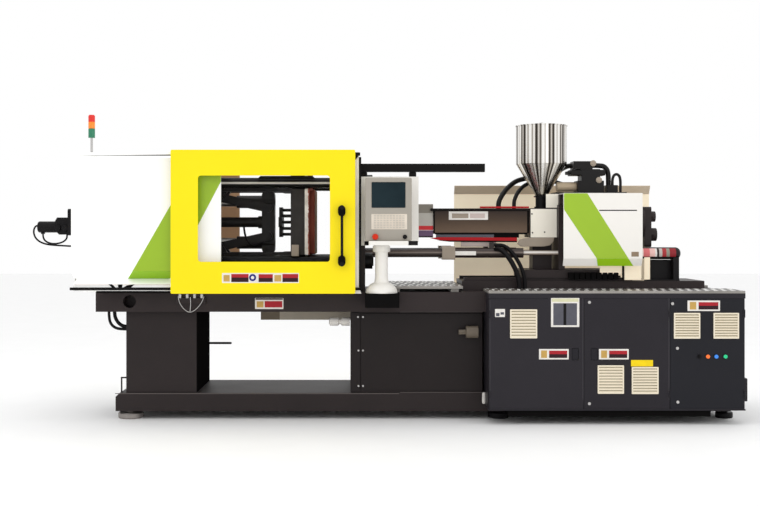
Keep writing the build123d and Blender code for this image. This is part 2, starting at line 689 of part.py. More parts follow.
def door_handle(outward):
    """Upright bar handle on two round standoffs."""
    with BuildPart() as handle:
        for z in (HANDLE_LOW, HANDLE_HIGH):
            with BuildSketch(Plane(origin=(HANDLE_X, outward * DOOR_Y, z), x_dir=(1, 0, 0), z_dir=(0, outward, 0))):
                Circle(HANDLE_FOOT_R)
            extrude(amount=HANDLE_OUT)
        bar_y = outward * (DOOR_Y + HANDLE_OUT - 2 * HANDLE_BAR_R)
        with BuildSketch(Plane(origin=(HANDLE_X, bar_y, HANDLE_LOW))):
            Circle(HANDLE_BAR_R)
        extrude(amount=HANDLE_HIGH - HANDLE_LOW)
    return handle


front_door_handle = door_handle(-1)
finish(front_door_handle, "front_door_handle")
rear_handle = door_handle(1)

for outward, word, window_high in ((-1, "front", WINDOW_HIGH), (1, "rear", REAR_WINDOW_HIGH)):
    # Sketch y runs up on the rear door's plane and down on the front door's.
    face = Plane(origin=(0, outward * DOOR_Y, 0), x_dir=(1, 0, 0), z_dir=(0, -outward, 0))
    door_middle = ((DOOR_LEFT + DOOR_RIGHT) / 2, outward * (DOOR_LOW + DOOR_HIGH) / 2)
    window_middle = ((WINDOW_LEFT + WINDOW_RIGHT) / 2, outward * (WINDOW_LOW + window_high) / 2)
    window_size = (WINDOW_RIGHT - WINDOW_LEFT, window_high - WINDOW_LOW)
    with BuildPart() as door_panel:
        with BuildSketch(face):
            with Locations(door_middle):
                RectangleRounded(DOOR_RIGHT - DOOR_LEFT, DOOR_HIGH - DOOR_LOW, 10)
        extrude(amount=DOOR_DEPTH)
        with BuildSketch(face.offset(SHEET)):
            with Locations(door_middle):
                Rectangle(DOOR_RIGHT - DOOR_LEFT - 3 * SHEET, DOOR_HIGH - DOOR_LOW - 3 * SHEET)
        extrude(amount=DOOR_DEPTH, mode=Mode.SUBTRACT)
        with BuildSketch(face):
            with Locations(window_middle):
                RectangleRounded(*window_size, WINDOW_CORNER)
        extrude(amount=SHEET, mode=Mode.SUBTRACT)
        if word == "rear":
            add(rear_handle.part)
    finish(door_panel, f"{word}_door_panel")
    with BuildPart() as door_window:
        with BuildSketch(face.offset(SHEET)):
            with Locations(window_middle):
                RectangleRounded(
                    window_size[0] + 2 * PANE_LAP, window_size[1] + 2 * PANE_LAP, WINDOW_CORNER + PANE_LAP
                )
        extrude(amount=5)
    finish(door_window, f"{word}_door_window")

DOOR_RAIL_Z = ((1992.0, 2016.0), (1000.0, 1020.0))
DOOR_RAIL_BACK = 660.0
rail_front = DOOR_Y - DOOR_DEPTH - SLIDE_GAP
with BuildPart() as guide_rails:
    for side in (-1, 1):
        for low, high in DOOR_RAIL_Z:
            with BuildSketch(Plane.XY.offset(low)):
                with Locations(((COVER_LEFT + DOOR_RIGHT + 36) / 2, side * (rail_front + DOOR_RAIL_BACK) / 2)):
                    Rectangle(DOOR_RIGHT + 36 - COVER_LEFT, rail_front - DOOR_RAIL_BACK)
            extrude(amount=high - low)
        with BuildSketch(Plane.XY.offset(COVER_FOLD_HIGH - 21)):
            with Locations((-2100, side * 650), (-1260, side * 650), (DOOR_RIGHT - 30, side * 650)):
                Rectangle(60, 20)
        extrude(amount=DOOR_RAIL_Z[0][1] - COVER_FOLD_HIGH + 21)
        with BuildSketch(Plane.XY.offset(BED_TOP)):
            with Locations((DOOR_RIGHT + 13, side * 650)):
                Rectangle(26, 20)
        extrude(amount=2020 - BED_TOP)
        with BuildSketch(Plane.XY.offset(BED_TOP)):
            with Locations((DOOR_RIGHT + 35, side * 635)):
                Rectangle(18, 24)
        extrude(amount=1984 - BED_TOP)
        with BuildSketch(Plane.XY.offset(BED_TOP)):
            with Locations((DOOR_RIGHT + 15, side * (PLATEN_HALF + 125))):
                Rectangle(60, 250)
        extrude(amount=25)
    with BuildSketch(at_x(RAIL_LEFT, z=0)):
        with Locations((RAIL_Y, (RAIL_LOW + RAIL_HIGH) / 2)):
            Rectangle(60, RAIL_HIGH - RAIL_LOW)
        with Locations((RAIL_Y, RAIL_LOW + 24)):
            Rectangle(40, 24, mode=Mode.SUBTRACT)
        with Locations((RAIL_Y, RAIL_LOW + 6)):
            Rectangle(14, 12, mode=Mode.SUBTRACT)
    extrude(amount=RAIL_RIGHT - RAIL_LEFT)
    with BuildSketch(Plane.XY.offset(RAIL_LOW - 40)):
        with Locations((FIXED_LEFT + 100, -(PLATEN_HALF + 470) / 2)):
            Rectangle(70, 470 - PLATEN_HALF)
    extrude(amount=84)
finish(guide_rails, "guide_rails")

HANGER_X = (-112.0, 256.0)
with BuildPart() as purge_guard:
    with BuildSketch(at_x(GUARD_LEFT, z=0)):
        with BuildLine():
            Polyline(
                (-505, GUARD_LOW), (-530, GUARD_LOW), (-530, GUARD_HIGH), (-436, GUARD_HIGH),
                (-436, GUARD_HIGH - SHEET), (-526, GUARD_HIGH - SHEET), (-526, GUARD_LOW + SHEET),
                (-505, GUARD_LOW + SHEET), close=True,
            )
        make_face()
    extrude(amount=GUARD_RIGHT - GUARD_LEFT)
    for x in HANGER_X:
        with BuildSketch(Plane.XY.offset(GUARD_HIGH)):
            with Locations((x, RAIL_Y)):
                Rectangle(54, 44)
        extrude(amount=RAIL_LOW - GUARD_HIGH - 4)
        with BuildSketch(Plane.XY.offset(RAIL_LOW - 4)):
            with Locations((x, RAIL_Y)):
                Rectangle(46, 12)
        extrude(amount=20)
        with BuildSketch(Plane.XY.offset(RAIL_LOW + 12 + SLIDE_GAP)):
            with Locations((x, RAIL_Y)):
                Rectangle(46, 36)
        extrude(amount=20)
        with BuildSketch(Plane.XY.offset(GUARD_LOW)):
            with Locations((x, -518)):
                Rectangle(64, 24)
        extrude(amount=-26)
finish(purge_guard, "purge_guard")

TOWER_X = -2159.0
TOWER_Y = -500.0
LENSES = ((2138.0, 2206.0), (2208.0, 2256.0), (2258.0, 2304.0))
with BuildPart() as signal_tower:
    with BuildSketch(Plane.XY.offset(COVER_ROOF)):
        with Locations((TOWER_X, TOWER_Y)):
            Circle(30)
    extrude(amount=10)
    with BuildSketch(Plane.XY.offset(COVER_ROOF)):
        with Locations((TOWER_X, TOWER_Y)):
            Circle(9)
    extrude(amount=LENSES[0][0] - COVER_ROOF)
    for low, high in LENSES:
        with BuildSketch(Plane.XY.offset(low)):
            with Locations((TOWER_X, TOWER_Y)):
                Circle(25)
        extrude(amount=high - low)
        with BuildSketch(Plane.XY.offset(high)):
            with Locations((TOWER_X, TOWER_Y)):
                Circle(20)
        extrude(amount=2 if high < LENSES[-1][1] else 6)
finish(signal_tower, "signal_tower")

# Operator's panel

with BuildPart() as panel_pedestal:
    with BuildSketch(Plane(origin=(MAST_X, MAST_Y, 0), x_dir=(1, 0, 0), z_dir=(0, -1, 0))):
        with BuildLine():
            Line((0, 978), (118, 978))
            Line((118, 978), (118, 988))
            Spline((118, 988), (78, 1010), (56, 1050), (47, 1120))
            Polyline((47, 1120), (47, MAST_TOP - 47), (64, MAST_TOP - 41), (64, MAST_TOP), (0, MAST_TOP), (0, 978))
        make_face()
    revolve(axis=Axis((MAST_X, MAST_Y, 0), (0, 0, 1)))
    with BuildSketch(Plane.XY.offset(874)):
        with Locations((MAST_X + 4, -(BED_HALF + 740) / 2)):
            RectangleRounded(250, 740 - BED_HALF, 10)
    extrude(amount=104)
finish(panel_pedestal, "panel_pedestal")

panel_middle = (PANEL_LEFT + PANEL_RIGHT) / 2
with BuildPart() as panel_housing:
    with BuildSketch(at_y(PANEL_BACK)):
        with Locations((panel_middle, (PANEL_LOW + PANEL_HIGH) / 2)):
            RectangleRounded(PANEL_RIGHT - PANEL_LEFT, PANEL_HIGH - PANEL_LOW, 12)
    extrude(amount=PANEL_BACK - PANEL_FRONT)
    fillet(panel_housing.faces().sort_by(Axis.Y)[0].edges(), 5)
    with BuildSketch(at_y(PANEL_FRONT)):
        with Locations(SCREEN_AT):
            RectangleRounded(*SCREEN_SIZE, 6)
    extrude(amount=-6, mode=Mode.SUBTRACT)
    with BuildSketch(at_y(PANEL_FRONT)):
        with Locations(KEYPAD_AT):
            RectangleRounded(*KEYPAD_SIZE, 6)
    extrude(amount=-2, mode=Mode.SUBTRACT)
    with BuildSketch(at_y(PANEL_FRONT, x=ESTOP_X, z=BUTTON_ROW_Z)):
        Circle(ESTOP_SHANK_R + SLIDE_GAP)
    extrude(amount=-ESTOP_BORE, mode=Mode.SUBTRACT)
    with BuildSketch(at_y(PANEL_FRONT + 2)):
        with Locations(KEYPAD_AT):
            with GridLocations(*KEY_PITCH, 10, 6):
                Rectangle(*KEY_SIZE)
    extrude(amount=4)
    with BuildSketch(Plane.XY.offset(SHELF_LOW + SLIDE_GAP)):
        with Locations((SHELF_RIGHT - 145, sum(SHELF_Y) / 2)):
            RectangleRounded(290, SHELF_Y[1] - SHELF_Y[0], 14)
        with Locations((SHELF_RIGHT + PLUG_BLOCK[0] / 2 - 6, sum(SHELF_Y) / 2 - 6)):
            RectangleRounded(PLUG_BLOCK[0] + 12, PLUG_BLOCK[1], 5)
    extrude(amount=PANEL_LOW - SHELF_LOW - SLIDE_GAP)
    with BuildSketch(Plane.XY.offset(MAST_TOP + SLIDE_GAP)):
        with Locations((MAST_X, MAST_Y)):
            Circle(58)
    extrude(amount=PANEL_LOW - MAST_TOP - SLIDE_GAP)
finish(panel_housing, "panel_housing")

with BuildPart() as panel_screen:
    with BuildSketch(at_y(PANEL_FRONT + 6)):
        with Locations(SCREEN_AT):
            RectangleRounded(SCREEN_SIZE[0] - 2 * SCREEN_FIT, SCREEN_SIZE[1] - 2 * SCREEN_FIT, 5)
    extrude(amount=3)
finish(panel_screen, "panel_screen")

with BuildPart() as panel_estop:
    with BuildSketch(at_y(PANEL_FRONT + ESTOP_SUNK, x=ESTOP_X, z=BUTTON_ROW_Z)):
        Circle(ESTOP_SHANK_R)
    extrude(amount=ESTOP_NECK + ESTOP_SUNK)
    with BuildSketch(at_y(PANEL_FRONT - ESTOP_NECK, x=ESTOP_X, z=BUTTON_ROW_Z)):
        Circle(23)
    extrude(amount=16, taper=12)
finish(panel_estop, "panel_estop")

with BuildPart() as panel_selector:
    with BuildSketch(at_y(PANEL_FRONT - SLIDE_GAP, x=SELECTOR_X, z=BUTTON_ROW_Z)):
        Circle(16)
    extrude(amount=8)
    with BuildSketch(at_y(PANEL_FRONT - 8, x=SELECTOR_X, z=BUTTON_ROW_Z)):
        SlotOverall(30, 10, rotation=90)
    extrude(amount=12)
finish(panel_selector, "panel_selector")

# Power cabinet with the oil tank behind it

CAB_FACE = 616.0
CAB_DOOR_THICK = CAB_HALF - CAB_FACE - SLIDE_GAP
LOUVRES = {
    "left": ((1071.0, 750.0, 200.0, 214.0),),
    "mid": ((1716.0, 338.0, 194.0, 210.0), (1970.0, 331.0, 198.0, 200.0)),
    "right": ((2280.0, 736.0, 194.0, 190.0), (2570.0, 736.0, 188.0, 190.0)),
}
LOUVRE_RISE = 8.0
SLATS = 9
SLAT_DEPTH = 7.0
SLOT_TALL = 7.0
LOCKS = {
    "left": (), "mid": ((1558.0, 909.0), (1558.0, 159.0)),
    "right": ((2173.0, 899.0), (2209.0, 569.0), (2212.0, 171.0)),
}
LOCK_R = 11.0
LATCH_Z = 525.0
LATCHES = {"left": 1454.0, "mid": 1594.0}
LATCH_WIDE = 44.0
LATCH_TALL = 84.0
LATCH_RECESS = 16.0
LATCH_PIN = 56.0
LATCH_PIVOT_Y = -CAB_HALF + 7.0
LATCH_PIVOT_Z = LATCH_Z + LATCH_TALL / 2 - 5.0
SWITCH_X = 2372.0
LAMPS_X = (2434.0, 2496.0, 2564.0)
LAMP_Z = 508.0
HINGE_OUT = 6.0
HINGE_IN = 4.0
HINGES_X = {
    "left": DOOR_SEAMS[0] + HINGE_IN, "mid": DOOR_SEAMS[2] - HINGE_IN, "right": DOOR_SEAMS[3] - HINGE_IN,
}
KNUCKLE_R = 4.5
KNUCKLE_TALL = 60.0
KNUCKLES_Z = (CAB_DOOR_LOW + 80.0, CAB_DOOR_HIGH - 140.0)
BAY_WALL = 26.0
with BuildPart() as cabinet_shell:
    with BuildSketch(at_x(CAB_LEFT, z=0)):
        with BuildLine():
            Polyline(
                (-CAB_INNER, BASE_TOP), (CAB_INNER, BASE_TOP), (CAB_INNER, CAB_LOW), (CAB_HALF, CAB_LOW),
                (CAB_HALF, CAB_TOP), (-CAB_INNER, CAB_TOP), close=True,
            )
        make_face()
    extrude(amount=CAB_RIGHT - CAB_LEFT)
    with BuildSketch(at_y(-CAB_INNER)):
        with Locations(((CAB_LEFT + CAB_RIGHT) / 2, (CAB_LOW + CAB_TOP) / 2)):
            Rectangle(CAB_RIGHT - CAB_LEFT, CAB_TOP - CAB_LOW)
    extrude(amount=CAB_FACE - CAB_INNER)
    with BuildSketch(at_y(-CAB_FACE)):
        with Locations(((CAB_LEFT + CAB_RIGHT) / 2, (CAB_DOOR_HIGH + SEAM + CAB_TOP) / 2)):
            Rectangle(CAB_RIGHT - CAB_LEFT, CAB_TOP - CAB_DOOR_HIGH - SEAM)
        with Locations(((CAB_LEFT + CAB_RIGHT) / 2, (CAB_LOW + CAB_DOOR_LOW - SEAM) / 2)):
            Rectangle(CAB_RIGHT - CAB_LEFT, CAB_DOOR_LOW - SEAM - CAB_LOW)
    extrude(amount=CAB_HALF - CAB_FACE)
    for low_x, high_x in zip(DOOR_SEAMS[:-1], DOOR_SEAMS[1:]):
        with BuildSketch(at_y(-CAB_FACE)):
            with Locations(((low_x + high_x) / 2, (CAB_DOOR_LOW + CAB_DOOR_HIGH) / 2)):
                Rectangle(high_x - low_x - BAY_WALL, CAB_DOOR_HIGH - CAB_DOOR_LOW - BAY_WALL)
        extrude(amount=-(CAB_FACE - CAB_INNER - 20), mode=Mode.SUBTRACT)
    with BuildSketch(at_x(CAB_RIGHT, y=-500, z=252)):
        RectangleRounded(172, 172, 10)
        Circle(78, mode=Mode.SUBTRACT)
    extrude(amount=33)
    with BuildSketch(at_x(CAB_RIGHT + 29, y=-500, z=252)):
        for r in (70, 50, 30):
            Circle(r)
            Circle(r - 5, mode=Mode.SUBTRACT)
        Rectangle(160, 6)
        Rectangle(6, 160)
    extrude(amount=4)
    with BuildSketch(at_x(CAB_RIGHT, y=-500, z=252)):
        Circle(12)
    extrude(amount=6)
finish(cabinet_shell, "cabinet_shell")

with BuildPart() as fan_rotor:
    with BuildSketch(at_x(CAB_RIGHT + 6 + SLIDE_GAP, y=-500, z=252)):
        Circle(24)
        with PolarLocations(44, 7):
            Rectangle(52, 22, rotation=0)
    extrude(amount=18)
finish(fan_rotor, "fan_rotor")


def cabinet_door(name, low_x, high_x):
    """One cabinet door with its raised louvre panels and a row of open slats in each."""
    with BuildPart() as door:
        with BuildSketch(at_y(-CAB_HALF + CAB_DOOR_THICK)):
            with Locations(((low_x + high_x) / 2, (CAB_DOOR_LOW + CAB_DOOR_HIGH) / 2)):
                RectangleRounded(high_x - low_x - 2 * SEAM, CAB_DOOR_HIGH - CAB_DOOR_LOW, 4)
        extrude(amount=CAB_DOOR_THICK)
        for x, z, wide, tall in LOUVRES[name]:
            with BuildSketch(at_y(-CAB_HALF)):
                with Locations((x, z)):
                    RectangleRounded(wide, tall, 4)
            extrude(amount=LOUVRE_RISE)
            pitch = (tall - 16) / SLATS
            for i in range(SLATS):
                slat = (x - wide / 2 + 10, -CAB_HALF - LOUVRE_RISE, z - tall / 2 + 8 + i * pitch)
                with BuildSketch(Plane(origin=slat, x_dir=(0, 1, 0), z_dir=(1, 0, 0))):
                    Polygon(
                        (0, 3), (0, pitch - 3), (SLAT_DEPTH, pitch - 3), (SLAT_DEPTH, pitch - 3 - SLOT_TALL),
                        align=None,
                    )
                extrude(amount=wide - 20, mode=Mode.SUBTRACT)
        for z in KNUCKLES_Z:
            with BuildSketch(Plane.XY.offset(z)):
                with Locations((HINGES_X[name], -CAB_HALF - HINGE_OUT)):
                    Circle(KNUCKLE_R)
                with Locations((HINGES_X[name], -CAB_HALF - HINGE_OUT / 2)):
                    Rectangle(2 * KNUCKLE_R, HINGE_OUT)
            extrude(amount=KNUCKLE_TALL)
        for x, z in LOCKS[name]:
            with BuildSketch(at_y(-CAB_HALF)):
                with Locations((x, z)):
                    Circle(LOCK_R)
            extrude(amount=5)
        if name in LATCHES:
            with BuildSketch(at_y(-CAB_HALF)):
                with Locations((LATCHES[name], LATCH_Z)):
                    RectangleRounded(LATCH_WIDE + 6, LATCH_TALL + 6, 6)
            extrude(amount=-LATCH_RECESS, mode=Mode.SUBTRACT)
            with BuildSketch(at_x(LATCHES[name] - LATCH_PIN / 2 - 1, y=LATCH_PIVOT_Y, z=LATCH_PIVOT_Z)):
                Circle(3 + RUN_FIT)
            extrude(amount=LATCH_PIN + 2, mode=Mode.SUBTRACT)
        else:
            with BuildSketch(at_y(-CAB_HALF)):
                with Locations(*[(x, LAMP_Z) for x in LAMPS_X + (SWITCH_X,)]):
                    Circle(19)
            extrude(amount=3)
    return door


for name, low_x, high_x in zip(("left", "mid", "right"), DOOR_SEAMS[:-1], DOOR_SEAMS[1:]):
    cab_door = cabinet_door(name, low_x, high_x)
    finish(cab_door, f"{name}_cabinet_door")

for name in LATCHES:
    with BuildPart() as latch:
        with BuildSketch(at_y(LATCH_PIVOT_Y + 5)):
            with Locations((LATCHES[name], LATCH_Z)):
                RectangleRounded(LATCH_WIDE, LATCH_TALL, 4)
        extrude(amount=10)
        with BuildSketch(at_x(LATCHES[name] - LATCH_PIN / 2, y=LATCH_PIVOT_Y, z=LATCH_PIVOT_Z)):
            Circle(3)
        extrude(amount=LATCH_PIN)
    finish(latch, f"{name}_door_latch")

with BuildPart() as pilot_lamps:
    with BuildSketch(at_y(-CAB_HALF - 3)):
        with Locations(*[(x, LAMP_Z) for x in LAMPS_X]):
            Circle(14)
    extrude(amount=9)
finish(pilot_lamps, "pilot_lamps")

with BuildPart() as main_switch:
    with BuildSketch(at_y(-CAB_HALF - 3 - SLIDE_GAP)):
        with Locations((SWITCH_X, LAMP_Z)):
            Circle(15)
    extrude(amount=6)
    with BuildSketch(at_y(-CAB_HALF - 9)):
        with Locations((SWITCH_X, LAMP_Z)):
            SlotOverall(28, 9, rotation=90)
    extrude(amount=10)
finish(main_switch, "main_switch")

MID_PLATE = (72.0, 640.0)
with BuildPart() as walk_plates:
    with BuildSketch(Plane.XY.offset(1000)):
        with Locations(((MID_PLATE[0] + MID_PLATE[1]) / 2, 0)):
            RectangleRounded(MID_PLATE[1] - MID_PLATE[0], 2 * BED_HALF, 4)
    extrude(amount=20)
    with BuildSketch(Plane.XY.offset(BED_TOP)):
        with Locations((MID_PLATE[0] + 60, 0), (MID_PLATE[1] - 60, 0)):
            Rectangle(60, 2 * BED_HALF - 40)
    extrude(amount=25)
    for side in (-1, 1):
        with BuildSketch(Plane.XY.offset(CAB_TOP)):
            with Locations(((CAB_LEFT + CAB_RIGHT) / 2, side * (CAB_HALF + INJ_BED_HALF + 4) / 2)):
                RectangleRounded(CAB_RIGHT - CAB_LEFT, CAB_HALF - INJ_BED_HALF - 4, 3)
        extrude(amount=PLATE_TOP - CAB_TOP)
finish(walk_plates, "walk_plates")

# Injection unit

with BuildPart() as injection_bed:
    with BuildSketch(Plane.XY.offset(CAB_TOP)):
        with Locations(((INJ_BED_LEFT + INJ_BED_RIGHT) / 2, 0)):
            Rectangle(INJ_BED_RIGHT - INJ_BED_LEFT, 2 * INJ_BED_HALF)
    extrude(amount=INJ_BED_TOP - CAB_TOP)
    with BuildSketch(Plane.XY.offset(INJ_BED_TOP)):
        for side in (-1, 1):
            with Locations(((INJ_BED_LEFT + 2000) / 2, side * 200)):
                Rectangle(2000 - INJ_BED_LEFT - 40, 44)
    extrude(amount=RAIL_TOP - INJ_BED_TOP)
finish(injection_bed, "injection_bed")

with BuildPart() as rear_guard:
    with BuildSketch(at_x(660, z=0)):
        with BuildLine():
            Polyline(
                (560, PLATE_TOP), (604, PLATE_TOP), (604, 1754), (560, 1824), (556, 1821), (600, 1752),
                (600, PLATE_TOP + SHEET), (560, PLATE_TOP + SHEET), close=True,
            )
        make_face()
    extrude(amount=2319 - 660)
finish(rear_guard, "rear_guard")

ACC_Z = 1264.0
ACC_POSTS = (2088.0, 2314.0)
ACC_R = 47.0
ACC_X = (2046.0, 2356.0)
ACC_Y = -200.0
with BuildPart() as accumulator:
    with BuildSketch(at_x(ACC_X[0], y=ACC_Y, z=ACC_Z)):
        Circle(ACC_R)
    extrude(amount=ACC_X[1] - ACC_X[0])
    fillet(accumulator.edges().filter_by(GeomType.CIRCLE).sort_by(Axis.X)[-1], 40)
    with BuildSketch(Plane.XY.offset(INJ_BED_TOP)):
        with Locations((sum(ACC_POSTS) / 2, ACC_Y)):
            Rectangle(ACC_POSTS[1] - ACC_POSTS[0] + 50, 90)
    extrude(amount=10)
    with BuildSketch(Plane.XY.offset(INJ_BED_TOP)):
        with Locations(*[(x, ACC_Y) for x in ACC_POSTS]):
            Rectangle(44, 86)
    extrude(amount=ACC_Z - 30 - INJ_BED_TOP)
    with BuildSketch(Plane.XY.offset(INJ_BED_TOP)):
        with Locations((sum(ACC_POSTS) / 2, ACC_Y + 38)):
            Rectangle(ACC_POSTS[1] - ACC_POSTS[0], 8)
    extrude(amount=ACC_Z - 50 - INJ_BED_TOP)
finish(accumulator, "accumulator")

CYL_ROD_R = 18.5
PORT_BLOCK_X = 884.0
with BuildPart() as carriage_cylinders:
    for side in (-1, 1):
        y = side * CARRIAGE_CYL_Y
        with BuildSketch(at_x(FIXED_RIGHT, y=y, z=CARRIAGE_CYL_Z)):
            Circle(34)
        extrude(amount=500 - FIXED_RIGHT)
        with BuildSketch(at_x(498, y=y, z=CARRIAGE_CYL_Z)):
            RectangleRounded(104, 104, 12)
        extrude(amount=100)
        with BuildSketch(at_x(598, y=y, z=CARRIAGE_CYL_Z)):
            Circle(38)
        extrude(amount=1131 - 598)
        with BuildSketch(Plane.XY.offset(CARRIAGE_CYL_Z)):
            with Locations((PORT_BLOCK_X, y)):
                Rectangle(36, 40)
        extrude(amount=82)
        with BuildSketch(at_x(560, y=y, z=CARRIAGE_CYL_Z)):
            Circle(CYL_ROD_R + RUN_FIT)
        extrude(amount=1131 - 560, mode=Mode.SUBTRACT)
finish(carriage_cylinders, "carriage_cylinders")

plate_left, plate_right = CARRIAGE_PLATE
CARRIAGE_TOP = 1640.0
with BuildPart() as carriage:
    with BuildSketch(Plane.XY.offset(RAIL_TOP + SLIDE_GAP)):
        with Locations(((1120 + 1860) / 2, 0)):
            Rectangle(1860 - 1120, 490)
    extrude(amount=60)
    with BuildSketch(at_x(plate_left, z=0)):
        with Locations((0, (RAIL_TOP + 40 + CARRIAGE_TOP) / 2)):
            RectangleRounded(480, CARRIAGE_TOP - RAIL_TOP - 40, 30)
    extrude(amount=plate_right - plate_left)
    with BuildSketch(Plane.XY.offset(CARRIAGE_TOP - 40)):
        with Locations(((plate_left + plate_right) / 2, -190), ((plate_left + plate_right) / 2, 190)):
            Rectangle(plate_right - plate_left - 20, 50)
    extrude(amount=1722 - CARRIAGE_TOP + 40)
    with BuildSketch(at_x(FEED_LEFT)):
        Rectangle(2 * FEED_HALF, 2 * FEED_HALF)
    extrude(amount=plate_left - FEED_LEFT)
    with BuildSketch(Plane.XY.offset(RAIL_TOP + 50)):
        with Locations(((FEED_LEFT + FEED_RIGHT) / 2, 0)):
            Rectangle(150, 180)
    extrude(amount=AXIS_Z - FEED_HALF - RAIL_TOP - 50)
    for side in (-1, 1):
        with BuildSketch(at_x(plate_right, y=side * INJ_CYL_Y)):
            Circle(64)
        extrude(amount=1800 - plate_right)
        with BuildSketch(at_x(1000, y=side * CARRIAGE_CYL_Y, z=CARRIAGE_CYL_Z)):
            Circle(CYL_ROD_R)
        extrude(amount=plate_left - 1000)
    with BuildSketch(at_x(1780)):
        RectangleRounded(460, 150, 30)
    extrude(amount=40)
    for side in (-1, 1):
        with BuildSketch(at_x(1520, y=side * INJ_CYL_Y)):
            Circle(30 + RUN_FIT)
        extrude(amount=400, mode=Mode.SUBTRACT)
    with BuildSketch(at_x(FEED_LEFT)):
        Circle(SCREW_R + RUN_FIT)
    extrude(amount=plate_right - FEED_LEFT, mode=Mode.SUBTRACT)
    with BuildSketch(at_x(1700)):
        Circle(60)
    extrude(amount=200, mode=Mode.SUBTRACT)
    with BuildSketch(Plane.XY.offset(AXIS_Z)):
        with Locations((FEED_X, 0)):
            Circle(SCREW_R)
    extrude(amount=120, mode=Mode.SUBTRACT)
finish(carriage, "carriage")

BAND_X = (290.0, 470.0, 650.0, 830.0, 1010.0)
with BuildPart() as barrel:
    with BuildSketch(Plane(origin=(0, 0, AXIS_Z), x_dir=(1, 0, 0), z_dir=(0, -1, 0))):
        with BuildLine():
            Polyline(
                (NOZZLE_TIP, 4), (NOZZLE_TIP, 14), (NOZZLE_TIP + 14, 22), (NOZZLE_TIP + 66, 22),
                (NOZZLE_TIP + 66, 36), (NOZZLE_TIP + 100, 36), (NOZZLE_TIP + 100, 56), (232, 56),
                (232, BARREL_OUT), (FEED_LEFT, BARREL_OUT), (FEED_LEFT, SCREW_R + RUN_FIT),
                (190, SCREW_R + RUN_FIT), (150, 8), (150, 4), close=True,
            )
        make_face()
    revolve(axis=Axis((0, 0, AXIS_Z), (1, 0, 0)))
    for x in BAND_X:
        with BuildSketch(at_x(x)):
            Circle(BARREL_OUT + 10)
            Circle(BARREL_OUT, mode=Mode.SUBTRACT)
        extrude(amount=140)
finish(barrel, "barrel")

SCREW_TIP = 196.0
SCREW_END = 1886.0
with BuildPart() as screw:
    with BuildSketch(Plane(origin=(0, 0, AXIS_Z), x_dir=(1, 0, 0), z_dir=(0, -1, 0))):
        with BuildLine():
            Polyline(
                (SCREW_TIP, 0), (SCREW_TIP + 40, 20), (SCREW_TIP + 52, 20), (SCREW_TIP + 52, SCREW_R),
                (SCREW_TIP + 84, SCREW_R), (SCREW_TIP + 84, 17), (FEED_X - 40, 17), (FEED_X + 34, 17),
                (FEED_X + 34, SCREW_R), (plate_right + 20, SCREW_R), (plate_right + 20, 22),
                (SCREW_END, 22), (SCREW_END, 0), close=True,
            )
        make_face()
    revolve(axis=Axis((0, 0, AXIS_Z), (1, 0, 0)))
finish(screw, "screw")

GUARD_TOP = 1599.0
GUARD_BASE = 1415.0
with BuildPart() as barrel_guards:
    with BuildSketch(at_x(440, z=0)):
        with BuildLine():
            Polyline(
                (-146, GUARD_BASE), (-150, GUARD_BASE), (-150, GUARD_TOP), (150, GUARD_TOP),
                (150, GUARD_BASE), (146, GUARD_BASE), (146, GUARD_TOP - SHEET), (-146, GUARD_TOP - SHEET),
                close=True,
            )
        make_face()
    extrude(amount=1190 - 440)
    with BuildSketch(Plane.XY.offset(GUARD_TOP)):
        with Locations(((410 + 1196) / 2, 0)):
            Rectangle(1196 - 410, 330)
    extrude(amount=12)
    with BuildSketch(at_x(316, z=0)):
        with Locations((0, 1518)):
            RectangleRounded(280, 262, 8)
            Rectangle(280 - 4 * SHEET, 262 - 4 * SHEET, mode=Mode.SUBTRACT)
    extrude(amount=434 - 316)
    for side in (-1, 1):
        with BuildSketch(at_x(1196, z=0)):
            with BuildLine():
                Polyline(
                    (side * 110, 1610), (side * 165, 1610), (side * 165, 1388), (side * 110, 1388),
                    (side * 110, 1388 + SHEET), (side * (165 - SHEET), 1388 + SHEET),
                    (side * (165 - SHEET), 1610 - SHEET), (side * 110, 1610 - SHEET), close=True,
                )
            make_face()
        extrude(amount=1400 - 1196)
finish(barrel_guards, "barrel_guards")

HOPPER_FOOT = AXIS_Z + FEED_HALF
NECK_LENGTH = 99.0
CONE_LENGTH = 253.0
BIN_LENGTH = 300.0
CONE_LOW = HOPPER_FOOT + NECK_LENGTH
CONE_HIGH = CONE_LOW + CONE_LENGTH
HOPPER_TOP = CONE_HIGH + BIN_LENGTH
THROAT_R = 30.0
LID_R = HOPPER_R + 6.0
with BuildPart() as hopper_body:
    with BuildSketch(Plane(origin=(FEED_X, 0, 0), x_dir=(1, 0, 0), z_dir=(0, -1, 0))):
        with BuildLine():
            Polyline(
                (THROAT_R, HOPPER_FOOT), (NECK_R + 10, HOPPER_FOOT), (NECK_R + 10, HOPPER_FOOT + 14), (NECK_R, HOPPER_FOOT + 14),
                (NECK_R, CONE_LOW - 10), (NECK_R + 14, CONE_LOW - 10), (NECK_R + 14, CONE_LOW), (NECK_R, CONE_LOW),
                (HOPPER_R, CONE_HIGH), (HOPPER_R, HOPPER_TOP), (HOPPER_R - SHEET, HOPPER_TOP),
                (HOPPER_R - SHEET, CONE_HIGH + 1), (THROAT_R, CONE_LOW + 3), close=True,
            )
        make_face()
    revolve(axis=Axis((FEED_X, 0, 0), (0, 0, 1)))
finish(hopper_body, "hopper_body")

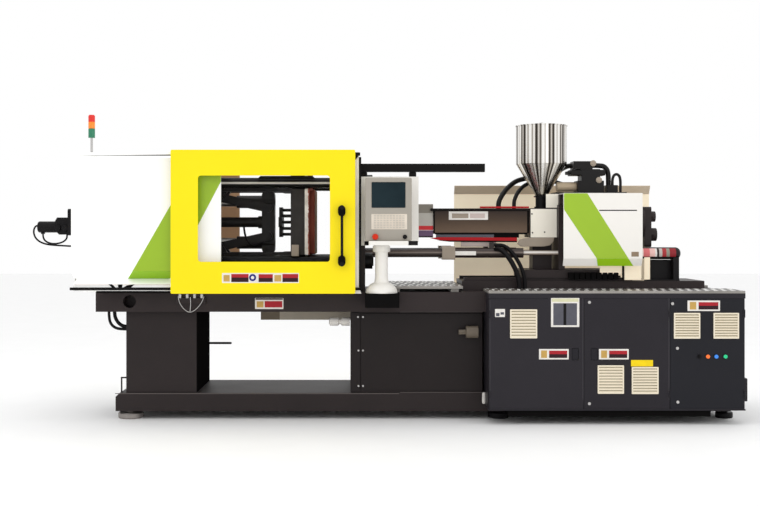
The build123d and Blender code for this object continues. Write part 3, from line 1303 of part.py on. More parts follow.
LID_HINGE_Y = LID_R + 6.0
LID_KNUCKLE_R = 8.0
LID_KNUCKLE = 60.0
with BuildPart() as hopper_lid:
    with BuildSketch(Plane(origin=(FEED_X, 0, 0), x_dir=(1, 0, 0), z_dir=(0, -1, 0))):
        with BuildLine():
            Polyline((0, HOPPER_TOP + 22), (0, HOPPER_TOP + SLIDE_GAP), (LID_R, HOPPER_TOP + SLIDE_GAP))
            Line((LID_R, HOPPER_TOP + SLIDE_GAP), (LID_R, HOPPER_TOP + 6))
            ThreePointArc((LID_R, HOPPER_TOP + 6), (0.51 * LID_R, HOPPER_TOP + 18), (0, HOPPER_TOP + 22))
        make_face()
    revolve(axis=Axis((FEED_X, 0, 0), (0, 0, 1)))
    with BuildSketch(Plane.XY.offset(HOPPER_TOP + 19)):
        with Locations((FEED_X, 0)):
            Circle(14)
    extrude(amount=12)
    with BuildSketch(at_x(FEED_X - LID_KNUCKLE / 2, y=LID_HINGE_Y, z=HOPPER_TOP + SLIDE_GAP)):
        Circle(LID_KNUCKLE_R)
        with Locations((-LID_KNUCKLE_R, 3)):
            Rectangle(2 * LID_KNUCKLE_R, 6)
    extrude(amount=LID_KNUCKLE)
finish(hopper_lid, "hopper_lid")

with BuildPart() as injection_cover:
    with BuildSketch(at_x(COVER_IN_LEFT, z=0)):
        with BuildLine():
            outside = (
                (COVER_IN_LOW_HALF, COVER_IN_LOW), (COVER_IN_HALF, COVER_IN_FOLD), (COVER_IN_HALF, COVER_IN_TOP),
            )
            inside = [(y - SHEET, z if z < COVER_IN_TOP else z - SHEET) for y, z in outside]
            Polyline(
                *[(-y, z) for y, z in outside], *outside[::-1], *inside, *[(-y, z) for y, z in inside[::-1]],
                close=True,
            )
        make_face()
    extrude(amount=COVER_IN_RIGHT - COVER_IN_LEFT)
    with BuildSketch(Plane.XY.offset(1700)):
        with Locations((COVER_IN_LEFT + 30, 0)):
            Rectangle(60, 230)
    extrude(amount=60, mode=Mode.SUBTRACT)
finish(injection_cover, "injection_cover")

SLIDE_LEFT = 1886.0
SLIDE_RIGHT = 1960.0
MOTOR_END = 2110.0
MOTOR_BLOCK = 55.0
MOTOR_PORTS = ((AXIS_Z + 45.0, 42.0, 44.0), (AXIS_Z - 98.0, 52.0, 53.0))
with BuildPart() as injection_slide:
    with BuildSketch(at_x(SLIDE_LEFT)):
        RectangleRounded(460, 260, 30)
    extrude(amount=SLIDE_RIGHT - SLIDE_LEFT)
    for side in (-1, 1):
        with BuildSketch(at_x(1600, y=side * INJ_CYL_Y)):
            Circle(30)
        extrude(amount=SLIDE_LEFT - 1600)
    with BuildSketch(at_x(SLIDE_RIGHT)):
        Circle(120)
    extrude(amount=MOTOR_END - SLIDE_RIGHT)
    with BuildSketch(at_x(MOTOR_END, z=AXIS_Z - 38)):
        RectangleRounded(150, 320, 20)
    extrude(amount=MOTOR_BLOCK)
    for z, r, out in MOTOR_PORTS:
        with BuildSketch(at_x(MOTOR_END + MOTOR_BLOCK, z=z)):
            Circle(r)
        extrude(amount=out)
        with BuildSketch(at_x(MOTOR_END + MOTOR_BLOCK, z=z)):
            RegularPolygon(r + 6, 6)
        extrude(amount=0.4 * out)
finish(injection_slide, "injection_slide")

DECK = (1402.0, 1960.0)
DECK_Z = 1730.0
DECK_THICK = 14.0
MANIFOLD_BLOCK = (1580.0, 1790.0)
MANIFOLD_HALF = 80.0
MANIFOLD_TALL = 92.0
VALVE_PITCH = 54.0
VALVE_TALL = 46.0
PUMP_R = 34.0
block_top = DECK_Z + DECK_THICK + MANIFOLD_TALL
stack_top = block_top + 2 * VALVE_TALL
block_middle = sum(MANIFOLD_BLOCK) / 2
VALVE_LENGTH = 150.0
PORT_SINK = 5.0
top_left = block_middle - 60 - VALVE_LENGTH / 2
top_right = top_left + VALVE_LENGTH
tank_block = (MANIFOLD_BLOCK[1] + 25, MANIFOLD_BLOCK[1] + 115)
tank_block_top = DECK_Z + DECK_THICK + 58
LONG_HOSE = (
    (top_left + 22, 20, 1960), (1528, 64, 1960), (1505, 112, 1948), (1465, 178, 1922), (1400, 238, 1895),
    (1310, 268, 1880), (1215, 250, 1870), (1130, 215, 1845), (1060, 180, 1790), (1008, 148, 1725),
    (980, 130, 1668), (980, 130, GUARD_TOP + 12),
)
SHORT_HOSE = (
    (MANIFOLD_BLOCK[0] + PORT_SINK, 54, 1800), (1540, 54, 1800), (1490, 78, 1815), (1430, 140, 1840),
    (1350, 190, 1850), (1260, 190, 1840), (1180, 160, 1800), (1130, 130, 1740), (1104, 116, 1682),
    (1104, 116, GUARD_TOP + 12),
)
DROP_HOSE = (
    (top_right - PORT_SINK, 0, 1960), (1752, 0, 1960), (1804, 0, 1955), (1832, 0, 1926), (1840, 0, 1884),
    (1841, 0, tank_block_top - PORT_SINK),
)
LOOP_HOSE = (
    (1866, -30, tank_block_top - PORT_SINK), (1866, -30, 1846), (1876, -30, 1880), (1900, -30, 1892),
    (1922, -30, 1876), (1930, -30, 1840), (1930, -30, DECK_Z + DECK_THICK - PORT_SINK),
)
with BuildPart() as manifold:
    with BuildSketch(Plane.XY.offset(CARRIAGE_TOP)):
        with Locations((sum(CARRIAGE_PLATE) / 2, 0)):
            Rectangle(plate_right - plate_left, 200)
    extrude(amount=DECK_Z - CARRIAGE_TOP)
    with BuildSketch(Plane.XY.offset(DECK_Z)):
        with Locations((sum(DECK) / 2, 0)):
            Rectangle(DECK[1] - DECK[0], 240)
    extrude(amount=DECK_THICK)
    with BuildSketch(Plane.XY.offset(DECK_Z + DECK_THICK)):
        with Locations((block_middle, 0)):
            RectangleRounded(MANIFOLD_BLOCK[1] - MANIFOLD_BLOCK[0], 2 * MANIFOLD_HALF, 6)
    extrude(amount=MANIFOLD_TALL)
    for y in (-VALVE_PITCH, 0, VALVE_PITCH):
        with BuildSketch(Plane.XY.offset(block_top)):
            with Locations((block_middle, y)):
                RectangleRounded(VALVE_LENGTH, VALVE_PITCH - 8, 4)
        extrude(amount=2 * VALVE_TALL)
        with BuildSketch(at_x(MANIFOLD_BLOCK[0] - 50, y=y, z=block_top + 1.4 * VALVE_TALL)):
            RectangleRounded(VALVE_PITCH - 10, VALVE_TALL, 10)
        extrude(amount=MANIFOLD_BLOCK[1] - MANIFOLD_BLOCK[0] + 60)
        with BuildSketch(at_x(MANIFOLD_BLOCK[0] - 74, y=y, z=block_top + 1.4 * VALVE_TALL)):
            Circle(13)
        extrude(amount=30)
    with BuildSketch(Plane.XY.offset(stack_top)):
        with Locations(((top_left + top_right) / 2, 0)):
            RectangleRounded(VALVE_LENGTH, 2 * MANIFOLD_HALF, 6)
    extrude(amount=62)
    with BuildSketch(at_x(MANIFOLD_BLOCK[0] - 94, z=DECK_Z + DECK_THICK + PUMP_R + 12)):
        Circle(PUMP_R)
    extrude(amount=100)
    with BuildSketch(Plane.XY.offset(DECK_Z + DECK_THICK)):
        with Locations((sum(tank_block) / 2, 0)):
            RectangleRounded(tank_block[1] - tank_block[0], 120, 8)
    extrude(amount=tank_block_top - DECK_Z - DECK_THICK)
    for route, diameter in ((LONG_HOSE, 40), (SHORT_HOSE, 32), (DROP_HOSE, 40), (LOOP_HOSE, 22)):
        add(pipe(route, diameter).part)
finish(manifold, "manifold")

# Small fittings below the clamp

with BuildPart() as drip_tray:
    with BuildSketch(Plane.XY.offset(722)):
        with Locations((-578, 230)):
            Rectangle(724, 260)
    extrude(amount=BED_BOTTOM - 722)
    with BuildSketch(Plane.XY.offset(722 + SHEET)):
        with Locations((-578, 230)):
            Rectangle(724 - 2 * SHEET, 260 - 2 * SHEET)
    extrude(amount=BED_BOTTOM - 722, mode=Mode.SUBTRACT)
finish(drip_tray, "drip_tray")

with BuildPart() as pipe_fittings:
    with BuildSketch(at_x(610, y=-420, z=670)):
        RegularPolygon(20, 6)
    extrude(amount=56)
    with BuildSketch(at_x(666, y=-420, z=670)):
        Circle(46)
    extrude(amount=90)
    with BuildSketch(at_y(-LEG_HALF - PANEL_THICK)):
        with Locations((700, 670)):
            Circle(18)
    extrude(amount=20)
    with BuildSketch(Plane.XY.offset(890)):
        with Locations((-1417, -BED_HALF - 16)):
            Rectangle(224, 32)
    extrude(amount=40)
    for x in (-1500, -1445, -1390, -1335):
        with BuildSketch(Plane.XY.offset(930)):
            with Locations((x, -BED_HALF - 16)):
                Circle(13)
        extrude(amount=30)
finish(pipe_fittings, "pipe_fittings")


# Free hoses. Each follows straight runs joined by tangent arcs.


def hose(label, points, diameter):
    with BuildPart() as tube:
        with BuildLine() as route:
            _, radii = hose_path(points)
        start = Vector(*points[1]) - Vector(*points[0])
        with BuildSketch(Plane(origin=points[0], z_dir=start)):
            Circle(diameter / 2)
        sweep(path=route.wires()[0])
    print(label, "length", round(route.wires()[0].length), "radii", [round(r) for r in radii])
    finish(tube, label)


HOSE_D = 14.0
OUTER_HOSE = (
    (VALVE_LEFT, 6, 1482), (-2722, 6, 1482), (-2741, 8, 1460), (-2746, 9, 1424), (-2732, 9, 1383),
    (-2696, 10, 1350), (-2642, 10, 1331), (-2574, 10, 1324), (-2500, 10, 1320), (-2430, 8, 1316),
    (-2364, 5, 1318), (-2322, 2, 1332), (PORT_X, 0, 1356), (PORT_X, 0, PORT_Z),
)
INNER_HOSE = (
    (VALVE_PORT_X, 0, VALVE_PORT_Z), (VALVE_PORT_X, 0, 1392), (-2654, -8, 1364), (-2624, -16, 1345),
    (-2586, -20, 1336), (-2544, -20, 1338), (-2504, -17, 1350), (-2480, -15, 1370), (-2472, -14, 1389),
    (-2472, -14, CAP_BLOCK_Z[0]),
)
hose("clamp_hose_outer", OUTER_HOSE, HOSE_D)
hose("clamp_hose_inner", INNER_HOSE, HOSE_D)
BED_HOSE = (
    (-2067, -330, BED_BOTTOM), (-2067, -330, 775), (-2056, -330, 728), (-2026, -330, 697),
    (-1984, -330, 684), (LEFT_LEG[0], -330, 684),
)
hose("bed_hose", BED_HOSE, 22.0)
INJECTION_HOSE = (
    (PORT_BLOCK_X + 18, -CARRIAGE_CYL_Y, 1328), (936, -200, 1328), (974, -216, 1325), (1010, -250, 1304),
    (1044, -284, 1262), (1078, -300, 1206), (1108, -305, 1144), (1125, -306, 1084), (1129, -306, 1034),
    (1129, -306, PLATE_TOP),
)
hose("injection_hose", INJECTION_HOSE, 30.0)
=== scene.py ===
import math

import bmesh
import bpy
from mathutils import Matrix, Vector


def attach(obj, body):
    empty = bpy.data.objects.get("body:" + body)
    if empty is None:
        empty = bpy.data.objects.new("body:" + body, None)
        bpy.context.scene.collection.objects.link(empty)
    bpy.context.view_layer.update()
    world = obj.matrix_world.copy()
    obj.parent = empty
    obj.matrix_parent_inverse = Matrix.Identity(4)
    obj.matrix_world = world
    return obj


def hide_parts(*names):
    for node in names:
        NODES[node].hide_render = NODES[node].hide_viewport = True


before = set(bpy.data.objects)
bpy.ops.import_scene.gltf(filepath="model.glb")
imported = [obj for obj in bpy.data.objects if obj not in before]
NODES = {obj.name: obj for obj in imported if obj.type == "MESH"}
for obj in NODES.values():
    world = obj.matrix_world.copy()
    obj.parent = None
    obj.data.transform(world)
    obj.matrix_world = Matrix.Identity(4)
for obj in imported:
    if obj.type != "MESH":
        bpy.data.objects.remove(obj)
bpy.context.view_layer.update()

# Main places of the machine that looks and pieces share, in metres

AXIS_Z = 1.508
TIE_BAR_OFFSET = 0.300
TIE_BAR_RADIUS = 0.040
CYLINDER_Y = 0.2
CYLINDER_Z = 1.267
TUBE_RADIUS = 0.038
ROD_RADIUS = 0.030
HOPPER_X = 1.306
MAST = (0.020, -0.620, 0.978)

# Front faces that plates and small pieces lie on

CABINET_Y = -0.640
FRONT_DOOR_Y = -0.720
MID_PANEL_Y = -0.372
COVER_Y = -0.420
GUARD_Y = -0.150

# Camera: level, square to the operator's side, at the photograph's distance

PHOTO_WIDTH = 760.0
PHOTO_MIDDLE = (380.0, 253.0)
AIM_PIXEL = (361.0, 233.0)
FOCAL_PIXELS = 1116.0
SENSOR_WIDTH = 36.0
CAMERA_PLACE = (-0.132, -8.90, 1.422)

camera_data = bpy.data.cameras.new("camera")
camera_data.sensor_width = SENSOR_WIDTH
camera_data.lens = SENSOR_WIDTH * FOCAL_PIXELS / PHOTO_WIDTH
camera_data.shift_x = (PHOTO_MIDDLE[0] - AIM_PIXEL[0]) / PHOTO_WIDTH
camera_data.shift_y = (AIM_PIXEL[1] - PHOTO_MIDDLE[1]) / PHOTO_WIDTH
camera = bpy.data.objects.new("camera", camera_data)
camera.location = CAMERA_PLACE
camera.rotation_euler = (math.radians(90), 0, 0)
bpy.context.scene.collection.objects.link(camera)
bpy.context.scene.camera = camera
bpy.context.scene.view_settings.view_transform = "Standard"


def metres_per_pixel(y):
    """Size of a photograph pixel on the plane at that Y."""
    return (y - CAMERA_PLACE[1]) / FOCAL_PIXELS


def photo_x(px, y):
    return (px - AIM_PIXEL[0]) * metres_per_pixel(y) + CAMERA_PLACE[0]


def photo_z(py, y):
    return CAMERA_PLACE[2] - (py - AIM_PIXEL[1]) * metres_per_pixel(y)


def photo_point(px, py, y):
    """World X and Z of a photograph pixel on the plane at that Y."""
    return photo_x(px, y), photo_z(py, y)


# Materials


def lin(r, g, b):
    """Linear colour of an 8-bit display colour."""
    out = []
    for c in (r, g, b):
        c = c / 255.0
        out.append(c / 12.92 if c <= 0.04045 else ((c + 0.055) / 1.055) ** 2.4)
    return tuple(out)


MIX_FACTOR, MIX_FIRST, MIX_SECOND, MIX_RESULT = 0, 6, 7, 2


class Shader:
    """A node tree with short calls for the nodes that the materials use."""

    def __init__(self, name, **sockets):
        self.material = bpy.data.materials.new(name)
        self.material.use_nodes = True
        self.tree = self.material.node_tree
        self.bsdf = self.tree.nodes["Principled BSDF"]
        self.coords = self.tree.nodes.new("ShaderNodeTexCoord").outputs["Object"]
        for key, value in sockets.items():
            self.bsdf.inputs[key.replace("_", " ")].default_value = value

    def node(self, kind, **values):
        made = self.tree.nodes.new(kind)
        for key, value in values.items():
            setattr(made, key, value)
        return made

    def link(self, a, b):
        self.tree.links.new(a, b)

    def mapping(self, scale=(1, 1, 1), rotation=(0, 0, 0), source=None):
        made = self.node("ShaderNodeMapping")
        made.inputs["Scale"].default_value = scale
        made.inputs["Rotation"].default_value = rotation
        self.link(source or self.coords, made.inputs["Vector"])
        return made.outputs["Vector"]

    def noise(self, scale, detail=4.0, rough=0.55, stretch=(1, 1, 1)):
        made = self.node("ShaderNodeTexNoise")
        made.inputs["Scale"].default_value = scale
        made.inputs["Detail"].default_value = detail
        made.inputs["Roughness"].default_value = rough
        self.link(self.mapping(stretch), made.inputs["Vector"])
        return made.outputs["Fac"]

    def ramp(self, source, stops, interpolation="LINEAR"):
        made = self.node("ShaderNodeValToRGB")
        ramp = made.color_ramp
        ramp.interpolation = interpolation
        while len(ramp.elements) < len(stops):
            ramp.elements.new(0.5)
        for element, (place, color) in zip(ramp.elements, stops):
            element.position = place
            element.color = (*color, 1.0)
        self.link(source, made.inputs["Fac"])
        return made.outputs["Color"]

    def mix(self, fac, a, b, blend="MIX"):
        made = self.node("ShaderNodeMix", data_type="RGBA", blend_type=blend)
        sockets = [made.inputs[i] for i in (MIX_FACTOR, MIX_FIRST, MIX_SECOND)]
        for value, socket in zip((fac, a, b), sockets):
            if isinstance(value, (int, float)):
                socket.default_value = value
            elif isinstance(value, tuple):
                socket.default_value = (*value, 1.0)
            else:
                self.link(value, socket)
        return made.outputs[MIX_RESULT]

    def math(self, operation, a, b=0.0):
        made = self.node("ShaderNodeMath", operation=operation)
        for value, socket in ((a, made.inputs[0]), (b, made.inputs[1])):
            if isinstance(value, (int, float)):
                socket.default_value = value
            else:
                self.link(value, socket)
        return made.outputs[0]

    def axis(self, name):
        made = self.node("ShaderNodeSeparateXYZ")
        self.link(self.coords, made.inputs[0])
        return made.outputs[name]

    def bump(self, height, strength, distance=0.001):
        made = self.node("ShaderNodeBump")
        made.inputs["Strength"].default_value = strength
        made.inputs["Distance"].default_value = distance
        self.link(height, made.inputs["Height"])
        self.link(made.outputs["Normal"], self.bsdf.inputs["Normal"])

    def rough(self, source, low, high):
        made = self.node("ShaderNodeMapRange")
        made.inputs["To Min"].default_value = low
        made.inputs["To Max"].default_value = high
        self.link(source, made.inputs["Value"])
        self.link(made.outputs[0], self.bsdf.inputs["Roughness"])

    def color(self, source):
        self.link(source, self.bsdf.inputs["Base Color"])


def shade(color, factor):
    return tuple(min(1.0, c * factor) for c in color)


SHEEN_LIFT = 0.07
DARKEST = 0.002


def under_gloss(color, level):
    """Base colour that reads as the wanted one once the pale studio shines on its surface."""
    return tuple(max(DARKEST, c - SHEEN_LIFT * level) for c in color)


def paint(name, color, rough=0.38, grain=420.0, dust=0.06, coat=0.0, wear=0.0, gloss=0.3, glow=0.0):
    """Sprayed or powder-coated sheet: fine orange peel, faint dust and tone changes. A glow above nought is
    painted light: the sheet emits though it is no lamp.
    """
    s = Shader(name, Coat_Weight=coat, Coat_Roughness=0.12, Specular_IOR_Level=gloss,
               Emission_Color=(*color, 1.0), Emission_Strength=glow)
    color = under_gloss(color, gloss)
    fine = s.noise(grain, 2.0)
    cloud = s.noise(2.3, 5.0, 0.6)
    base = s.ramp(cloud, [(0.3, shade(color, 1.0 - dust)), (0.72, shade(color, 1.0 + dust))])
    if wear:
        marks = s.ramp(s.noise(9.0, 9.0, 0.72), [(0.66, (0, 0, 0)), (0.8, (1, 1, 1))])
        worn = s.math("MULTIPLY", marks, wear)
        base = s.mix(worn, base, tuple(min(1.0, c * 1.6 + 0.03) for c in color))
    s.color(base)
    s.rough(cloud, rough - 0.06, rough + 0.08)
    s.bump(fine, 0.08)
    return s.material


def metal(name, color, rough=0.3, tone=0.12):
    """Bare metal with fine machining lines and soft changes of tone."""
    s = Shader(name, Metallic=1.0)
    lines = s.noise(160.0, 3.0, 0.6)
    cloud = s.noise(5.0, 4.0, 0.6)
    s.color(s.ramp(cloud, [(0.3, shade(color, 1.0 - tone)), (0.7, shade(color, 1.0 + tone))]))
    s.rough(lines, rough - 0.07, rough + 0.1)
    s.bump(lines, 0.06, 0.0006)
    return s.material


def plastic(name, color, rough=0.45, grain=900.0, gloss=0.25):
    s = Shader(name, Specular_IOR_Level=gloss)
    color = under_gloss(color, gloss)
    fine = s.noise(grain, 3.0)
    s.color(s.ramp(s.noise(14.0, 3.0), [(0.3, shade(color, 0.93)), (0.7, shade(color, 1.07))]))
    s.rough(fine, rough - 0.05, rough + 0.07)
    s.bump(fine, 0.1, 0.0004)
    return s.material


def banded(name, axis, places, colors, rough=0.42, gloss=0.3, soft=False):
    """Colour that steps or fades along one axis at the given places in metres."""
    s = Shader(name, Specular_IOR_Level=gloss)
    low, high = places[0], places[-1]
    spot = s.math("DIVIDE", s.math("SUBTRACT", s.axis(axis), low), high - low)
    stops = [((place - low) / (high - low), under_gloss(color, gloss))
             for place, color in zip(places, colors)]
    bands = s.ramp(spot, stops, "LINEAR" if soft else "CONSTANT")
    cloud = s.noise(9.0, 4.0, 0.6)
    tone = s.ramp(cloud, [(0.3, (0.9, 0.9, 0.9)), (0.7, (1.0, 1.0, 1.0))])
    s.color(s.mix(1.0, bands, tone, "MULTIPLY"))
    s.rough(cloud, rough - 0.06, rough + 0.08)
    s.bump(s.noise(200.0, 3.0), 0.08)
    return s.material


def lamp(name, color, glow):
    s = Shader(name, Transmission_Weight=0.25, IOR=1.49, Emission_Color=(*color, 1.0),
               Emission_Strength=glow)
    ribs = s.node("ShaderNodeTexWave", wave_type="RINGS", rings_direction="Z")
    ribs.inputs["Scale"].default_value = 160.0
    s.link(s.coords, ribs.inputs["Vector"])
    s.color(s.ramp(s.noise(20.0, 2.0), [(0.3, shade(color, 0.85)), (0.7, color)]))
    s.rough(ribs.outputs["Fac"], 0.12, 0.28)
    s.bump(ribs.outputs["Fac"], 0.2, 0.0005)
    return s.material


CHARCOAL = lin(58, 52, 52)
CABINET = lin(51, 49, 53)
WHITE = lin(240, 237, 231)
COVER_WHITE = lin(252, 252, 250)
YELLOW = lin(253, 229, 0)
GREEN = lin(156, 190, 56)
CREAM = lin(238, 227, 205)
SHADOW = lin(20, 19, 19)
BRIGHT = lin(244, 242, 238)

LOOKS = {
    "charcoal": paint("charcoal_paint", CHARCOAL, 0.42, dust=0.1, wear=0.03, gloss=0.2),
    "base": paint("base_paint", lin(54, 49, 49), 0.5, dust=0.12, wear=0.04, gloss=0.2),
    "cabinet": paint("cabinet_paint", CABINET, 0.36, dust=0.08, wear=0.02, gloss=0.2),
    "white": paint("white_paint", WHITE, 0.34, dust=0.02, coat=0.15),
    # The clamp cover white glows faintly: painted light
    "cover_white": paint("cover_white_glow_paint", COVER_WHITE, 0.34, dust=0.01, coat=0.15, gloss=0.1,
                         glow=0.06),
    # Lit copy of the cover white for the fold under the clamp cover, glowing strongly: painted light on a
    # face that turns from the lamps
    "fold_painted_light_white": paint("fold_white_paint", COVER_WHITE, 0.34, dust=0.01, coat=0.15, gloss=0.1,
                        glow=0.3),
    "tread_edge": paint("tread_edge_paint", lin(150, 146, 141), 0.4, dust=0.2, gloss=0.2),
    "yellow": paint("yellow_paint", YELLOW, 0.36, dust=0.02, coat=0.08, gloss=0.2),
    "green": paint("green_paint", GREEN, 0.32, dust=0.03, coat=0.2),
    # Copy of the stripe green for its part on the fold, tuned to the shade there: painted light
    "green_fold": paint("green_fold_lit_paint", lin(152, 198, 42), 0.34, dust=0.03, coat=0.2),
    "cream": paint("cream_paint", CREAM, 0.42, dust=0.04),
    # The tan glows: painted light that lifts covers standing in the machine's shade
    "tan": paint("tan_paint", lin(246, 232, 206), 0.42, dust=0.05, gloss=0.15, glow=0.24),
    # Darker copy of the tan for the rear guard's sloping top band, with a weaker glow: painted shade and
    # painted light
    "tan_dark": paint("tan_band_shade_glow_paint", lin(206, 190, 168), 0.45, dust=0.07, gloss=0.15, glow=0.1),
    "panel": paint("panel_paint", lin(166, 160, 150), 0.4, dust=0.04),
    "foot": metal("foot_iron", lin(150, 144, 140), 0.5, tone=0.25),
    "rail_black": paint("rail_paint", lin(30, 29, 29), 0.4, dust=0.1, gloss=0.12),
    "mid": paint("mid_panel_paint", lin(46, 42, 42), 0.42, dust=0.14, gloss=0.2),
    # The middle and right cabinet doors are shaded copies of the cabinet paint, darker to the right:
    # painted shade
    "cabinet_mid": paint("cabinet_mid_shaded_paint", lin(49, 47, 51), 0.36, dust=0.08, gloss=0.2),
    "cabinet_right": paint("cabinet_right_shaded_paint", lin(43, 43, 47), 0.36, dust=0.08, gloss=0.2),
    "black": plastic("black_plastic", lin(34, 33, 34), 0.42, gloss=0.15),
    "rubber": plastic("hose_rubber", lin(32, 31, 32), 0.5, 500.0, gloss=0.15),
    "hydraulic": paint("hydraulic_paint", lin(40, 39, 39), 0.36, dust=0.25, wear=0.35, gloss=0.2),
    "tank_black": paint("stand_paint", lin(36, 35, 36), 0.4, dust=0.1, gloss=0.15),
    "red": plastic("red_plastic", lin(206, 56, 36), 0.34),
    "steel": metal("bright_steel", lin(190, 188, 186), 0.28),
    "dark_metal": paint("dark_iron", lin(46, 44, 44), 0.42, dust=0.25, wear=0.2, gloss=0.2),
    "platen": paint("platen_paint", lin(54, 50, 49), 0.45, dust=0.15, wear=0.06, gloss=0.2),
    # Near-black for black parts, and as painted shadow under and beside parts
    "side_black": paint("black_and_shadow_paint", SHADOW, 0.6, gloss=0.0),
    "edge": paint("edge_highlight", lin(96, 90, 88), 0.4, gloss=0.2),
    # Light line along the door seams: painted highlight
    "seam": paint("seam_painted_highlight", lin(76, 74, 78), 0.4, gloss=0.2),
    "latch": plastic("latch_plastic", lin(44, 43, 47), 0.4),
    "keypad": plastic("keypad_film", lin(226, 216, 202), 0.4),
    "key": plastic("key_film", lin(206, 198, 186), 0.4),
    "filter": paint("filter_paint", lin(112, 103, 92), 0.42, dust=0.15),
    "pump": paint("pump_paint", lin(196, 178, 152), 0.42, dust=0.12, wear=0.2),
    "joint_block": paint("joint_block_paint", lin(160, 148, 134), 0.42, dust=0.1),
    "pink_grey": paint("lower_guard_paint", lin(204, 188, 182), 0.4),
    "red_strip": paint("red_strip_paint", lin(176, 36, 42), 0.36, gloss=0.2),
    "slot": plastic("slot_shadow", lin(150, 140, 116), 0.6),
    "label_cream": plastic("label_cream", lin(214, 212, 176), 0.4),
}
LABEL_COLORS = {
    "label_white": lin(232, 228, 222), "label_red": lin(172, 48, 56), "label_dark": lin(58, 40, 44),
    "label_amber": lin(196, 160, 92), "label_blue": lin(30, 40, 120), "label_yellow": lin(246, 214, 24),
    "label_grey": lin(92, 92, 100),
}
for name, color in LABEL_COLORS.items():
    LOOKS[name] = plastic(name, color, 0.35)

IRON_EDGE_X = -0.564
COATING_EDGE_X = -0.538


def coated_platen():
    """Moving platen: dark casting, a bare machined strip, then a ragged red-brown rust-proof coating."""
    s = Shader("moving_platen_paint", Specular_IOR_Level=0.2)
    x = s.axis("X")
    ragged = s.math("MULTIPLY", s.math("SUBTRACT", s.noise(30.0, 8.0, 0.7), 0.5), 0.03)
    streak = s.noise(12.0, 6.0, 0.6, (1, 1, 0.3))
    coating = s.ramp(streak, [(0.3, lin(100, 40, 30)), (0.55, lin(140, 66, 50)), (0.78, lin(168, 98, 76))])
    iron = s.ramp(s.noise(6.0, 5.0), [(0.3, lin(36, 34, 33)), (0.7, lin(52, 48, 46))])
    bare = s.ramp(s.noise(16.0, 5.0), [(0.3, lin(206, 200, 192)), (0.7, lin(242, 238, 232))])
    coated = s.math("GREATER_THAN", s.math("ADD", x, ragged), COATING_EDGE_X)
    machined = s.math("GREATER_THAN", x, IRON_EDGE_X)
    s.color(s.mix(coated, s.mix(machined, iron, bare), coating))
    s.rough(streak, 0.42, 0.62)
    s.bump(s.noise(120.0, 5.0), 0.15)
    return s.material


def painted_light_bar(name, level, offset, radius, colors, lower=None, gloss=0.3):
    """Ground bars along X, offset above and below a level, with painted highlight and shade bands for the
    long lines that they mirror; bars below the level take the lower colour as painted shade.
    """
    s = Shader(name, Specular_IOR_Level=gloss)
    height = s.math("ABSOLUTE", s.math("SUBTRACT", s.axis("Z"), level))
    local = s.math("DIVIDE", s.math("SUBTRACT", height, offset), 2 * radius)
    color = s.ramp(s.math("ADD", local, 0.5), colors)
    if lower:
        color = s.mix(s.math("LESS_THAN", s.axis("Z"), level), color, lower)
    s.color(color)
    lines = s.noise(90.0, 3.0, 0.6, (30, 1, 1))
    s.rough(lines, 0.2, 0.3)
    s.bump(lines, 0.03, 0.0006)
    return s.material


# Counts and strength of the painted reflection bands round the hopper
WIDE_REFLECTION_BANDS = 11.0
NARROW_REFLECTION_BANDS = 37.0
REFLECTION_BAND_SHARE = 0.26


def hopper_painted_reflections():
    """Polished stainless sheet with painted reflections: tall dark and bright bands round its wall."""
    s = Shader("hopper_painted_reflections", Metallic=1.0)
    around = s.node("ShaderNodeVectorMath", operation="SUBTRACT")
    around.inputs[1].default_value = (HOPPER_X, 0.0, 0.0)
    s.link(s.coords, around.inputs[0])
    split = s.node("ShaderNodeSeparateXYZ")
    s.link(around.outputs[0], split.inputs[0])
    angle = s.math("ARCTAN2", split.outputs["Y"], split.outputs["X"])
    drift = s.math("MULTIPLY", s.noise(2.0, 2.0), 0.9)
    waves = [s.math("SINE", s.math("ADD", s.math("MULTIPLY", angle, bands), drift))
             for bands in (WIDE_REFLECTION_BANDS, NARROW_REFLECTION_BANDS)]
    slow, quick = [s.math("MULTIPLY", wave, REFLECTION_BAND_SHARE) for wave in waves]
    tone = s.math("ADD", s.math("ADD", slow, quick), 0.5)
    s.color(s.ramp(tone, [(0.12, lin(52, 48, 44)), (0.3, lin(112, 106, 98)), (0.48, lin(186, 180, 172)),
                          (0.72, BRIGHT)]))
    fine = s.noise(60.0, 4.0, 0.6, (1, 1, 14))
    s.rough(fine, 0.2, 0.34)
    s.bump(fine, 0.02, 0.0004)
    return s.material


TREAD_DENSITY = 22.0
TREAD_DEPTH_SHARE = 0.14
TREAD_HALF_LENGTH = 0.43
TREAD_HALF_WIDTH = 0.17
KEEP_POSITIVE = 2000.0


